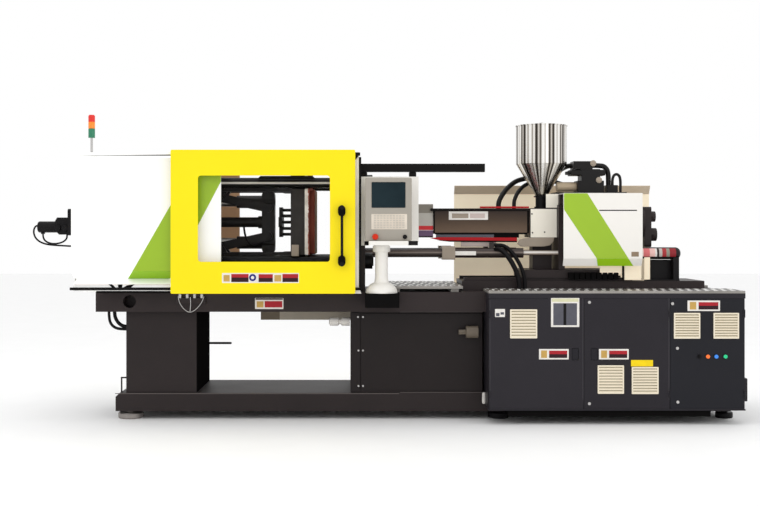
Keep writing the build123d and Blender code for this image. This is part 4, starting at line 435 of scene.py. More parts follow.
def tread_plate():
    """Aluminium chequered plate: short raised bars that turn by 90 degrees from cell to cell."""
    s = Shader("tread_plate", Metallic=0.3)
    drawn_out = s.mapping(scale=(1, TREAD_DEPTH_SHARE, 1))
    tilted = s.mapping(rotation=(0, 0, math.radians(45)), source=drawn_out)
    split = s.node("ShaderNodeSeparateXYZ")
    s.link(tilted, split.inputs[0])
    u = s.math("MULTIPLY", split.outputs["X"], TREAD_DENSITY)
    v = s.math("MULTIPLY", split.outputs["Y"], TREAD_DENSITY)
    count = s.math("ADD", s.math("FLOOR", u), s.math("ADD", s.math("FLOOR", v), KEEP_POSITIVE))
    odd = s.math("MODULO", count, 2.0)
    even = s.math("SUBTRACT", 1.0, odd)
    fu = s.math("ABSOLUTE", s.math("SUBTRACT", s.math("FRACT", u), 0.5))
    fv = s.math("ABSOLUTE", s.math("SUBTRACT", s.math("FRACT", v), 0.5))
    along = s.math("ADD", s.math("MULTIPLY", fu, odd), s.math("MULTIPLY", fv, even))
    across = s.math("ADD", s.math("MULTIPLY", fv, odd), s.math("MULTIPLY", fu, even))
    shape = s.math("MULTIPLY", s.math("LESS_THAN", along, TREAD_HALF_LENGTH),
                   s.math("LESS_THAN", across, TREAD_HALF_WIDTH))
    soil = s.noise(7.0, 5.0, 0.6)
    ground = s.ramp(soil, [(0.3, lin(62, 58, 56)), (0.7, lin(104, 99, 95))])
    s.color(s.mix(shape, ground, BRIGHT))
    s.rough(soil, 0.34, 0.5)
    s.bump(shape, 0.8, 0.0015)
    return s.material


def clear_pane():
    s = Shader("clear_pane", Transmission_Weight=1.0, IOR=1.02, Alpha=0.06, Specular_IOR_Level=0.0)
    fine = s.noise(3.0, 4.0)
    s.color(s.ramp(fine, [(0.3, (0.93, 0.95, 0.95)), (0.7, (1.0, 1.0, 1.0))]))
    s.rough(fine, 0.02, 0.06)
    s.bump(fine, 0.01, 0.0005)
    return s.material


def dark_screen():
    s = Shader("screen_glass", Specular_IOR_Level=0.12)
    glow = s.noise(5.0, 2.0)
    s.color(s.ramp(glow, [(0.35, lin(18, 34, 40)), (0.7, lin(26, 42, 48))]))
    s.rough(glow, 0.16, 0.24)
    s.bump(s.noise(400.0, 2.0), 0.02, 0.0003)
    return s.material


# Painted highlight and shade bands across the tie bars, the carriage tubes and their chrome rods
TIE_BAR_HIGHLIGHT_AND_SHADE = [(0.1, SHADOW), (0.35, lin(24, 23, 23)), (0.39, lin(206, 202, 196)),
                 (0.54, lin(206, 202, 196)), (0.59, lin(30, 28, 28)), (0.9, SHADOW)]
TUBE_PAINTED_HIGHLIGHT = [(0.08, lin(40, 32, 30)), (0.42, lin(52, 42, 38)), (0.55, lin(128, 116, 108)),
              (0.68, lin(70, 58, 54)), (0.9, lin(44, 36, 34))]
ROD_PAINTED_REFLECTION = [(0.25, lin(90, 74, 64)), (0.45, lin(196, 184, 172)), (0.6, lin(240, 238, 234)),
             (0.75, lin(150, 138, 126))]
NOZZLE_GUARD_LEVELS = (1.38, 1.398, 1.4416, 1.4455, 1.478, 1.579, 1.66)
NOZZLE_GUARD_COLORS = (lin(60, 52, 58), lin(110, 88, 116), lin(228, 222, 220), lin(206, 60, 64),
                       lin(190, 186, 178), lin(140, 134, 124), lin(140, 134, 124))
# The barrel guard's brown darkens towards the top: painted shade
BARREL_GUARD_LEVELS = (1.415, 1.47, 1.53, 1.6)
BARREL_GUARD_COLORS = (lin(112, 94, 80), lin(100, 83, 70), lin(80, 67, 58), lin(62, 52, 48))
TANK_PLACES = (2.03, 2.06, 2.108, 2.15, 2.164, 2.18, 2.205, 2.236, 2.262, 2.312)
TANK_COLORS = (lin(252, 214, 208), lin(238, 128, 130), lin(252, 206, 200), lin(240, 236, 232),
               lin(60, 50, 50), lin(196, 190, 184), lin(176, 62, 66), lin(150, 150, 136),
               lin(150, 50, 56), lin(44, 40, 42))
DRIP_PLACES = (-0.94, -0.79, -0.216)
DRIP_COLORS = (lin(124, 112, 96), lin(186, 176, 160), lin(186, 176, 160))

LOOKS["moving"] = coated_platen()
LOOKS["bar"] = painted_light_bar("tie_bar_painted_light", AXIS_Z, TIE_BAR_OFFSET, TIE_BAR_RADIUS, TIE_BAR_HIGHLIGHT_AND_SHADE,
                         SHADOW, 0.12)
LOOKS["screw_bar"] = metal("screw_steel", lin(206, 204, 200), 0.2)
LOOKS["cylinder"] = painted_light_bar("carriage_tube_painted_highlight", 0.0, CYLINDER_Z, TUBE_RADIUS, TUBE_PAINTED_HIGHLIGHT)
LOOKS["chrome_rod_painted_reflection"] = painted_light_bar("chrome_rod_painted_reflection", 0.0, CYLINDER_Z, ROD_RADIUS, ROD_PAINTED_REFLECTION)
LOOKS["grey_box"] = banded("nozzle_guard_paint", "Z", NOZZLE_GUARD_LEVELS, NOZZLE_GUARD_COLORS)
LOOKS["brown"] = banded("barrel_guard_shaded_paint", "Z", BARREL_GUARD_LEVELS, BARREL_GUARD_COLORS, 0.33, 0.2,
                    soft=True)
LOOKS["guard_top"] = paint("guard_top_paint", lin(36, 33, 32), 0.4, gloss=0.15)
LOOKS["feed_cover"] = paint("feed_cover_paint", lin(246, 240, 226), 0.4, dust=0.03, gloss=0.2)
LOOKS["fitting_tan"] = paint("fitting_tan_paint", lin(146, 128, 108), 0.45, dust=0.15, wear=0.1)
# Brown-tan for the inside of the white rear cover, standing for its shade, with a glow: painted shade and
# painted light
LOOKS["rear_inside"] = paint("rear_cover_inside_shade_glow_paint", lin(190, 150, 116), 0.5, dust=0.12, glow=0.14)
LOOKS["tank"] = banded("pressure_tank_paint", "X", TANK_PLACES, TANK_COLORS, 0.3)
LOOKS["drip"] = banded("drip_tray_steel", "X", DRIP_PLACES, DRIP_COLORS, 0.45)
LOOKS["hopper"] = hopper_painted_reflections()
LOOKS["tread"] = tread_plate()
LOOKS["pane"] = clear_pane()
LOOKS["screen"] = dark_screen()
LOOKS["lamp_red"] = lamp("lamp_red", lin(214, 40, 30), 0.25)
LOOKS["lamp_amber"] = lamp("lamp_amber", lin(236, 138, 40), 0.25)
LOOKS["lamp_green"] = lamp("lamp_green", lin(40, 130, 96), 0.12)
LOOKS["pilot_orange"] = lamp("pilot_orange", lin(240, 112, 40), 0.5)
LOOKS["pilot_blue"] = lamp("pilot_blue", lin(56, 130, 220), 0.5)
LOOKS["pilot_green"] = lamp("pilot_green", lin(30, 196, 132), 0.45)

# The CAD nodes that have each look

DRESS = {
    "foot": ("levelling_feet",),
    "base": ("base_frame",),
    "mid": ("mid_panel",),
    "charcoal": ("clamp_bed", "injection_bed", "carriage", "injection_slide"),
    "platen": ("fixed_platen", "tail_platen"),
    "bar": ("tie_bars",),
    "cover_white": ("clamp_covers",),
    "black": ("signal_tower", "front_door_handle", "panel_selector", "clamp_cylinder", "main_switch",
              "fan_rotor"),
    "rail_black": ("guide_rails",),
    "white": ("panel_pedestal", "purge_guard", "injection_cover"),
    "tread": ("walk_plates",),
    "cabinet": ("cabinet_shell", "left_cabinet_door"),
    "tan": ("rear_guard",),
    "tank_black": ("accumulator",),
    "cylinder": ("carriage_cylinders",),
    "fitting_tan": ("pipe_fittings",),
    "drip": ("drip_tray",),
    "rubber": ("bed_hose", "clamp_hose_outer", "clamp_hose_inner", "injection_hose"),
    "yellow": ("front_door_panel", "rear_door_panel"),
    "pane": ("front_door_window", "rear_door_window"),
    "panel": ("panel_housing",),
    "screen": ("panel_screen",),
    "red": ("panel_estop",),
    "dark_metal": ("crosshead", "rear_link_upper", "rear_link_lower", "front_link_upper",
                   "front_link_lower", "crosshead_link_upper", "crosshead_link_lower", "ejector_plate"),
    "moving": ("moving_platen",),
    "steel": ("barrel",),
    "brown": ("barrel_guards",),
    "hopper": ("hopper_body", "hopper_lid"),
    "hydraulic": ("manifold",),
    "screw_bar": ("screw",),
    "cabinet_mid": ("mid_cabinet_door",),
    "cabinet_right": ("right_cabinet_door",),
    "pilot_orange": ("pilot_lamps",),
    "latch": ("left_door_latch", "mid_door_latch"),
}


def dress(obj, material):
    """Put one of the named materials on an object in place of what it has."""
    obj.data.materials.clear()
    obj.data.materials.append(LOOKS[material])


def dress_by_place(node, rules):
    """Give faces of a CAD node other materials where a rule on their centre and normal holds."""
    obj = NODES[node]
    for _, material in rules:
        obj.data.materials.append(LOOKS[material])
    for polygon in obj.data.polygons:
        for i, (rule, _) in enumerate(rules):
            if rule(polygon.center, polygon.normal):
                polygon.material_index = i + 1
                break


for material, nodes in DRESS.items():
    for node in nodes:
        dress(NODES[node], material)

# Rules for faces: louvres and locks of the cabinet doors first

LOUVRES = ((0.971, 1.171, 0.643, 0.857), (1.619, 1.813, 0.233, 0.443), (1.871, 2.069, 0.231, 0.431),
           (2.183, 2.377, 0.641, 0.831), (2.476, 2.664, 0.641, 0.831))
LOUVRE_SLACK = 0.001
DOOR_SKIN_Y = -0.6401
SLOT_FRONT_Y = -0.6415
LOCK_FRONT_Y, LOCK_BACK_Y = -0.6455, -0.6405
LATCH_LOW_Z, LATCH_TOP_Z = 0.48, 0.54


def within(value, low, high):
    return low - LOUVRE_SLACK < value < high + LOUVRE_SLACK


def on_louvre(center, normal):
    return center.y < DOOR_SKIN_Y and any(
        within(center.x, left, right) and within(center.z, low, top) for left, right, low, top in LOUVRES)


def in_slot(center, normal):
    return on_louvre(center, normal) and center.y > SLOT_FRONT_Y


def on_lock(center, normal):
    return LOCK_FRONT_Y < center.y < LOCK_BACK_Y and not LATCH_LOW_Z < center.z < LATCH_TOP_Z


def above(level):
    return lambda center, normal: center.z > level


def below(level):
    return lambda center, normal: center.z < level


def right_of(place):
    return lambda center, normal: center.x > place


def left_of(place):
    return lambda center, normal: center.x < place


def both(first, second):
    return lambda center, normal: first(center, normal) and second(center, normal)


def near_axis(y, z, reach):
    """Faces within reach of an axis along X that stands at y, and of its twin on the other side."""
    return lambda center, normal: math.hypot(abs(center.y) - y, center.z - z) < reach


RED_LAMP_Z, AMBER_LAMP_Z, GREEN_LAMP_Z, LAMP_FOOT_Z = 2.2575, 2.2075, 2.1375, 2.026
GREEN_PILOT_X, BLUE_PILOT_X = 2.53, 2.46
PEDESTAL_FOOT_Z, PURGE_RAIL_Z, HOPPER_FOOT_Z = 0.9785, 1.8455, 1.7175
FILTER_X, COUPLER_X, COUPLER_TOP_Z = 0.6, -1.2, 0.9305
FEED_COVER_X, NOZZLE_GUARD_X, GUARD_TOP_Z = 1.1965, 0.4345, 1.5995
RAIL_CAP_X, RAIL_CAP_Z, CABINET_FOOT_X = -1.53, 1.9, 0.8
VALVE_X, VALVE_Z, VALVE_REACH = 1.5895, 1.79, 0.0345
PANEL_BOX_X, PANEL_BOX_Z, PANEL_FOOT_Z = 0.2145, 1.3645, 1.3635
LEG_FACE_X = -1.387
REAR_BAND_Z, REAR_FOLD_Z = 1.753, 1.7
STAND_TOP_Z, STAND_LEFT_X = 1.222, 2.112
TANK_Y, TANK_Z, TANK_REACH = 0.283, 1.28, 0.06
ROD_HEAD_LEFT_X, ROD_HEAD_RIGHT_X = 0.497, 0.599
REAR_COVER_Y, FRONT_COVER_Y = 0.6, -0.5
POST_LEFT_X, POST_RIGHT_X, POST_FRONT_Y = -0.176, -0.146, -0.655
ROD_END_X, ROD_END_OFFSET, ROD_END_RADIUS = -1.655, 0.162, 0.038
KEYS_X, KEYS_Z, KEYS_HALF_WIDTH, KEYS_HALF_HEIGHT, KEYPAD_Y = 0.074, 1.505, 0.131, 0.056, -0.7485


def on_leg_face(center, normal):
    return normal.x > 0.5 and abs(center.x - LEG_FACE_X) < 0.01


def on_rear_band(center, normal):
    return center.z > REAR_BAND_Z or (center.z > REAR_FOLD_Z and abs(normal.z) > 0.2)


def on_rod_head(center, normal):
    return ROD_HEAD_LEFT_X < center.x < ROD_HEAD_RIGHT_X


def in_rear_cover(center, normal):
    return center.y > REAR_COVER_Y and normal.y < -0.5


def on_front_fold(center, normal):
    return center.y < FRONT_COVER_Y and normal.z < -0.3


def on_post_front(center, normal):
    return POST_LEFT_X < center.x < POST_RIGHT_X and center.y < POST_FRONT_Y and normal.y < -0.9


def on_plate_edge(center, normal):
    return abs(normal.z) < 0.5


def on_rod_end(center, normal):
    radius = math.hypot(center.y, abs(center.z - AXIS_Z) - ROD_END_OFFSET)
    return center.x > ROD_END_X and abs(radius - ROD_END_RADIUS) < 0.004


def on_keys(center, normal):
    return abs(center.x - KEYS_X) < KEYS_HALF_WIDTH and abs(center.z - KEYS_Z) < KEYS_HALF_HEIGHT


def on_keypad(center, normal):
    return on_keys(center, normal) and center.y > KEYPAD_Y


DOOR_RULES = ((in_slot, "slot"), (on_louvre, "cream"), (on_lock, "steel"))
ON_ROD = near_axis(CYLINDER_Y, CYLINDER_Z, ROD_RADIUS + 0.0005)
FACE_RULES = {
    "left_cabinet_door": DOOR_RULES,
    "mid_cabinet_door": DOOR_RULES,
    "right_cabinet_door": DOOR_RULES,
    "signal_tower": ((above(RED_LAMP_Z), "lamp_red"), (above(AMBER_LAMP_Z), "lamp_amber"),
                     (above(GREEN_LAMP_Z), "lamp_green"), (above(LAMP_FOOT_Z), "steel")),
    "pilot_lamps": ((right_of(GREEN_PILOT_X), "pilot_green"), (right_of(BLUE_PILOT_X), "pilot_blue")),
    "panel_pedestal": ((below(PEDESTAL_FOOT_Z), "side_black"),),
    # The leg's face towards +X is painted shadow black: painted shade
    "base_frame": ((on_leg_face, "side_black"),),
    "pipe_fittings": ((right_of(FILTER_X), "filter"),
                      (both(left_of(COUPLER_X), above(COUPLER_TOP_Z)), "steel"),
                      (left_of(COUPLER_X), "charcoal")),
    "carriage": ((ON_ROD, "chrome_rod_painted_reflection"),),
    "purge_guard": ((above(PURGE_RAIL_Z), "rail_black"),),
    # The sloping top band takes painted shade
    "rear_guard": ((on_rear_band, "tan_dark"),),
    "accumulator": ((both(above(STAND_TOP_Z), near_axis(TANK_Y, TANK_Z, TANK_REACH)), "tank"),
                    (both(left_of(STAND_LEFT_X), below(STAND_TOP_Z)), "tan")),
    "barrel_guards": ((right_of(FEED_COVER_X), "feed_cover"), (left_of(NOZZLE_GUARD_X), "grey_box"),
                      (above(GUARD_TOP_Z), "guard_top")),
    "carriage_cylinders": ((on_rod_head, "joint_block"), (ON_ROD, "chrome_rod_painted_reflection")),
    "hopper_body": ((below(HOPPER_FOOT_Z), "black"),),
    # The front fold takes the lit, glowing copy of the cover white: painted light
    # The inside of the rear cover takes painted shade
    "clamp_covers": ((in_rear_cover, "rear_inside"), (on_front_fold, "fold_painted_light_white")),
    "guide_rails": ((both(left_of(RAIL_CAP_X), above(RAIL_CAP_Z)), "cover_white"),
                    (on_post_front, "label_white")),
    "levelling_feet": ((right_of(CABINET_FOOT_X), "tank_black"),),
    "walk_plates": ((on_plate_edge, "tread_edge"),),
    "tail_platen": ((on_rod_end, "steel"),),
    "manifold": ((both(left_of(VALVE_X), near_axis(0, VALVE_Z, VALVE_REACH)), "fitting_tan"),),
    "panel_housing": ((both(right_of(PANEL_BOX_X), below(PANEL_BOX_Z)), "tank_black"),
                      (below(PANEL_FOOT_Z), "white"), (on_keypad, "keypad"), (on_keys, "key")),
}

for node, rules in FACE_RULES.items():
    dress_by_place(node, rules)

# Mesh pieces

BEVEL_SEGMENTS = 2
CORNER_STEPS = 3
CAP_STEPS = 6


def fix_normals(obj):
    work = bmesh.new()
    work.from_mesh(obj.data)
    bmesh.ops.recalc_face_normals(work, faces=work.faces)
    work.to_mesh(obj.data)
    work.free()


def new_mesh(name, verts, faces, body, material, bevel=0.0):
    mesh = bpy.data.meshes.new(name)
    mesh.from_pydata([tuple(v) for v in verts], [], faces)
    mesh.validate()
    obj = bpy.data.objects.new(name, mesh)
    bpy.context.scene.collection.objects.link(obj)
    dress(obj, material)
    if bevel:
        modifier = obj.modifiers.new("bevel", "BEVEL")
        modifier.width = bevel
        modifier.segments = BEVEL_SEGMENTS
        modifier.limit_method = "ANGLE"
    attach(obj, body)
    fix_normals(obj)


def prism(name, outline, start, depth, body, material, bevel=0.0):
    """Closed plate from an outline of (x, z) points on the plane Y = start, depth towards +Y."""
    n = len(outline)
    verts = [(x, start, z) for x, z in outline] + [(x, start + depth, z) for x, z in outline]
    faces = [tuple(range(n))[::-1], tuple(range(n, 2 * n))]
    faces += [(i, (i + 1) % n, n + (i + 1) % n, n + i) for i in range(n)]
    new_mesh(name, verts, faces, body, material, bevel)


def photo_rect(spot, y, r=0.0):
    """Outline over a rectangle of photograph pixels, whose corners have the radius r."""
    left, top, right, low = spot
    x0, x1, z0, z1 = photo_x(left, y), photo_x(right, y), photo_z(low, y), photo_z(top, y)
    if not r:
        return [(x0, z0), (x1, z0), (x1, z1), (x0, z1)]
    outline = []
    centers = ((x1 - r, z0 + r, -90), (x1 - r, z1 - r, 0), (x0 + r, z1 - r, 90), (x0 + r, z0 + r, 180))
    for cx, cz, start in centers:
        for i in range(CORNER_STEPS + 1):
            a = math.radians(start + 90 * i / CORNER_STEPS)
            outline.append((cx + r * math.cos(a), cz + r * math.sin(a)))
    return outline


def turned(name, profile, place, axis, body, material, sides=32):
    """Closed turned piece: (radius, distance) pairs along X, Y or Z from a place in metres."""
    verts, faces = [], []
    for radius, along in profile:
        for i in range(sides):
            a = 2 * math.pi * i / sides
            u, v = radius * math.cos(a), radius * math.sin(a)
            offset = {"X": (along, u, v), "Y": (u, along, v), "Z": (u, v, along)}[axis]
            verts.append([p + o for p, o in zip(place, offset)])
    for low in range(0, len(verts) - sides, sides):
        for i in range(sides):
            j = (i + 1) % sides
            faces.append((low + i, low + j, low + sides + j, low + sides + i))
    faces.append(tuple(range(sides)))
    faces.append(tuple(range(len(verts) - sides, len(verts)))[::-1])
    new_mesh(name, verts, faces, body, material)


def capsule(radius, length):
    """Profile of a round-ended bar from its first end."""
    angles = [math.pi / 2 * i / CAP_STEPS for i in range(CAP_STEPS + 1)]
    start = [(max(0.04, math.sin(a)) * radius, radius * (1 - math.cos(a))) for a in angles]
    return start + [(r, length - along) for r, along in reversed(start)]


# Hoses

OUTER_HOSE = (
    (-2.706, 0.006, 1.482), (-2.722, 0.006, 1.482), (-2.741, 0.008, 1.460), (-2.746, 0.009, 1.424),
    (-2.732, 0.009, 1.383), (-2.696, 0.010, 1.350), (-2.642, 0.010, 1.331), (-2.574, 0.010, 1.324),
    (-2.500, 0.010, 1.320), (-2.430, 0.008, 1.316), (-2.364, 0.005, 1.318), (-2.322, 0.002, 1.332),
    (-2.303, 0.0, 1.356), (-2.303, 0.0, 1.382),
)
INNER_HOSE = (
    (-2.668, 0.0, 1.414), (-2.668, 0.0, 1.392), (-2.654, -0.008, 1.364), (-2.624, -0.016, 1.345),
    (-2.586, -0.020, 1.336), (-2.544, -0.020, 1.338), (-2.504, -0.017, 1.350), (-2.480, -0.015, 1.370),
    (-2.472, -0.014, 1.389), (-2.472, -0.014, 1.409),
)
BED_HOSE = (
    (-2.067, -0.330, 0.825), (-2.067, -0.330, 0.775), (-2.056, -0.330, 0.728), (-2.026, -0.330, 0.697),
    (-1.984, -0.330, 0.684), (-1.930, -0.330, 0.684),
)
INJECTION_HOSE = (
    (0.902, -0.200, 1.328), (0.936, -0.200, 1.328), (0.974, -0.216, 1.325), (1.010, -0.250, 1.304),
    (1.044, -0.284, 1.262), (1.078, -0.300, 1.206), (1.108, -0.305, 1.144), (1.125, -0.306, 1.084),
    (1.129, -0.306, 1.034), (1.129, -0.306, 0.993),
)
BED_RETURN_PIXELS = ((114.6, 310.6), (114.6, 314.5), (115.8, 319), (119, 323.6), (123, 326.2),
                     (127.3, 326.6))
COUPLER_LOOP_PIXELS = ((178.2, 296.5), (178.6, 300), (180.6, 305), (184.6, 310), (190, 312.9), (195.4, 310),
                       (200, 305), (203, 300), (203.8, 296.5))
COUPLER_LINE_PIXELS = ((190.2, 297), (190.7, 302), (190.5, 307), (190, 311.8))
ROD_HOSE_START = (-1.062, -0.040, 1.482)
ROD_HOSE_PIXELS = ((244.2, 231), (246, 238), (249.4, 244), (254, 246.4), (258.6, 245), (262.6, 242.2))
CARRIAGE_RETURN_START = (0.915, -0.225, 1.295)
CARRIAGE_RETURN_END = (1.083, -0.336, 0.985)
CARRIAGE_RETURN_SHIFT = (0.046, 0.030, 0.020)


def route(y, pixels):
    """Route along photograph pixels on the plane at that Y."""
    return [(photo_x(px, y), y, photo_z(py, y)) for px, py in pixels]


def hose(name, points, diameter, body, node=None, material="rubber"):
    """Free hose as a smooth spline of round section."""
    curve = bpy.data.curves.new(name, "CURVE")
    curve.dimensions = "3D"
    curve.bevel_depth = diameter / 2
    curve.bevel_resolution = 3
    curve.resolution_u = 6
    curve.use_fill_caps = True
    spline = curve.splines.new("NURBS")
    spline.points.add(len(points) - 1)
    for point, place in zip(spline.points, points):
        point.co = (*place, 1.0)
    spline.order_u = 3
    spline.use_endpoint_u = True
    obj = bpy.data.objects.new(name, curve)
    bpy.context.scene.collection.objects.link(obj)
    curve.materials.append(LOOKS[material])
    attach(obj, body)
    if node:
        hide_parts(node)


carriage_return = [
    CARRIAGE_RETURN_START,
    *(tuple(c - shift for c, shift in zip(point, CARRIAGE_RETURN_SHIFT)) for point in INJECTION_HOSE[2:-1]),
    CARRIAGE_RETURN_END,
]
rod_route = [ROD_HOSE_START, *route(-0.075, ROD_HOSE_PIXELS)]

hose("outer_clamp_hose", OUTER_HOSE, 0.014, "tail", "clamp_hose_outer")
hose("inner_clamp_hose", INNER_HOSE, 0.014, "tail", "clamp_hose_inner")
hose("bed_feed_hose", BED_HOSE, 0.022, "machine", "bed_hose")
hose("carriage_feed_hose", INJECTION_HOSE, 0.030, "machine", "injection_hose")
hose("bed_return_hose", route(-0.330, BED_RETURN_PIXELS), 0.028, "machine")
hose("carriage_return_hose", carriage_return, 0.038, "machine")
hose("coupler_loop", route(-0.490, COUPLER_LOOP_PIXELS), 0.006, "machine", material="steel")
hose("coupler_line", route(-0.493, COUPLER_LINE_PIXELS), 0.006, "machine", material="steel")
hose("rod_hose", rod_route, 0.016, "crosshead")

# Green stripes on the clamp cover and the injection cover: pixels on the flat face, then corners of the
# part below the fold as (pixel X, Y, Z)

STRIPE_THICK = 0.0008
CLAMP_STRIPE = ((132.6, 271.0), (174.0, 271.0), (198.8, 223.7), (220.9, 181.5), (220.9, 157.6),
                (198.5, 157.6), (170.0, 206.0))
CLAMP_STRIPE_FOLD = ((132.6, -0.640, 1.141), (174.0, -0.640, 1.141), (170.0, -0.550, 1.081),
                     (128.0, -0.550, 1.081))
COVER_STRIPE = ((564.0, 193.3), (587.4, 193.3), (628.5, 258.5), (596.7, 258.5), (564.0, 209.4))
COVER_STRIPE_FOLD = ((596.7, -0.420, 1.228), (628.5, -0.420, 1.228), (633.3, -0.388, 1.171),
                     (597.6, -0.388, 1.171))


def folded_stripe(name, pixels, fold, flat_y, body):
    """Thin painted stripe on a flat face and on the slope below its fold."""
    outline = [photo_point(px, py, flat_y) for px, py in pixels]
    prism(name, outline, flat_y - STRIPE_THICK, STRIPE_THICK, body, "green")
    corners = [Vector((photo_x(px, y), y, z)) for px, y, z in fold]
    outward = (corners[1] - corners[0]).cross(corners[3] - corners[0]).normalized()
    outward *= -STRIPE_THICK if outward.y > 0 else STRIPE_THICK
    verts = corners + [corner + outward for corner in corners]
    faces = [(0, 3, 2, 1), (4, 5, 6, 7)] + [(i, (i + 1) % 4, 4 + (i + 1) % 4, 4 + i) for i in range(4)]
    # The part on the slope takes the lit copy of the green
    new_mesh(name + "_fold", verts, faces, body, "green_fold")


folded_stripe("clamp_cover_stripe", CLAMP_STRIPE, CLAMP_STRIPE_FOLD, CABINET_Y, "machine")
folded_stripe("injection_cover_stripe", COVER_STRIPE, COVER_STRIPE_FOLD, COVER_Y, "carriage")

# Bare plates with plain colour fields. A plate is a rectangle of photograph pixels, its face, its body and
# its fields; a field is a rectangle in shares of the plate and a material.

PLATE_THICK = 0.0012
PLATE_CORNER = 0.003
FIELD_THICK = 0.0004
STICKER_BEVEL = 0.0004
SHEET_FIELDS = ((0.03, 0.02, 0.97, 0.13, "label_cream"), (0.08, 0.18, 0.44, 0.94, "label_grey"),
                (0.44, 0.18, 0.54, 0.94, "black"), (0.54, 0.18, 0.92, 0.94, "label_grey"))
CARD_FIELDS = ((0.1, 0.5, 0.45, 0.9, "label_grey"), (0.55, 0.4, 0.9, 0.7, "label_grey"))
THREE_FIELDS = ((0.07, 0.14, 0.27, 0.86, "label_amber"), (0.34, 0.16, 0.95, 0.5, "label_red"),
                (0.34, 0.5, 0.95, 0.86, "label_dark"))
DOOR_FIELDS = ((0.02, 0.2, 0.1, 0.85, "label_amber"), (0.12, 0.1, 0.345, 0.45, "label_red"),
               (0.12, 0.45, 0.345, 0.9, "label_dark"), (0.475, 0.12, 0.66, 0.5, "label_red"),
               (0.475, 0.5, 0.66, 0.9, "label_dark"), (0.68, 0.2, 0.77, 0.85, "label_amber"),
               (0.785, 0.1, 0.99, 0.5, "label_red"), (0.785, 0.5, 0.99, 0.9, "label_dark"))
BED_FIELDS = ((0.02, 0.02, 0.98, 0.16, "label_dark"), (0.06, 0.3, 0.3, 0.86, "label_amber"),
              (0.34, 0.28, 0.96, 0.86, "label_red"))
GUARD_FIELDS = ((0.08, 0.25, 0.5, 0.8, "joint_block"), (0.54, 0.25, 0.92, 0.8, "pink_grey"))
PLATES = {
    "left_door_sheet": ((551, 298, 579.3, 327), CABINET_Y, "door_left", SHEET_FIELDS),
    "left_door_card": ((495, 309, 505, 317), CABINET_Y, "door_left", CARD_FIELDS),
    "left_door_plate": ((539, 349, 568.7, 359.4), CABINET_Y, "door_left", THREE_FIELDS),
    "mid_door_plate": ((599, 349, 628.7, 359.4), CABINET_Y, "door_mid", THREE_FIELDS),
    "right_door_plate": ((687.5, 300.5, 720, 311), CABINET_Y, "door_right", THREE_FIELDS),
    "front_door_plates": ((222, 273, 299, 283), FRONT_DOOR_Y, "front_door", DOOR_FIELDS),
    "bed_plate": ((255, 298, 283.4, 309), -0.450, "machine", BED_FIELDS),
    "barrel_guard_plate": ((448.8, 211.4, 488, 219.8), GUARD_Y, "carriage", GUARD_FIELDS),
}

# Thin stickers, and edges and seams with painted highlights: pixels, face, body, material, thickness,
# corner radius

EDGE_THICK = 0.0006
STICKERS = {
    "mid_door_yellow_plate": ((631, 360, 653, 366.4), CABINET_Y, "door_mid", "label_yellow", 0.0015, 0.002),
    "injection_cover_slot": ((599.2, 209.8, 637, 210.9), COVER_Y, "carriage", "black", EDGE_THICK),
    "injection_cover_field": ((631.4, 251.8, 638.8, 256.6), COVER_Y, "carriage", "fitting_tan", 0.0008),
    "mid_panel_top_edge": ((400, 311.4, 482.5, 312.2), MID_PANEL_Y, "machine", "edge", EDGE_THICK),
    "mid_panel_low_edge": ((400, 392.0, 482.5, 392.8), MID_PANEL_Y, "machine", "edge", EDGE_THICK),
    "base_top_edge": ((115, 393.2, 399, 394.0), -0.380, "machine", "edge", EDGE_THICK),
    "left_seam_light": ((489.6, 300, 490.2, 400), CABINET_Y, "door_left", "seam", EDGE_THICK),
    "mid_seam_light": ((582.7, 298.5, 583.3, 400), CABINET_Y, "door_left", "seam", EDGE_THICK),
    "right_seam_light": ((668.7, 298.5, 669.4, 400), CABINET_Y, "door_mid", "seam", EDGE_THICK),
    "ledge_line": ((74, 284.5, 170, 285.1), -0.6605, "machine", "pink_grey", EDGE_THICK),
    "door_handle_cap_1": ((338.1, 205.6, 345.5, 216.4), -0.724, "front_door", "side_black", 0.058, 0.026),
    "door_handle_cap_2": ((338.1, 255.2, 345.5, 266.2), -0.724, "front_door", "side_black", 0.058, 0.026),
}


def sticker(name, spot, y, body, material, thick=PLATE_THICK, r=0.0):
    """Flat plate over a rectangle of photograph pixels, on a face that looks at the operator."""
    prism(name, photo_rect(spot, y, r), y - thick, thick, body, material, STICKER_BEVEL)


def plate(name, spot, y, body, fields):
    """White plate with plain colour fields."""
    sticker(name, spot, y, body, "label_white", PLATE_THICK, PLATE_CORNER)
    left, top, right, low = spot
    width, height = right - left, low - top
    for i, (a, b, c, d, material) in enumerate(fields):
        inner = (left + a * width, top + b * height, left + c * width, top + d * height)
        sticker(f"{name}_{i + 1}", inner, y - PLATE_THICK, body, material, FIELD_THICK)


for name, values in PLATES.items():
    plate(name, *values)
for name, values in STICKERS.items():
    sticker(name, *values)

# Boxes and plates in front of the machine's faces: pixels, front, depth, body, material, bevel

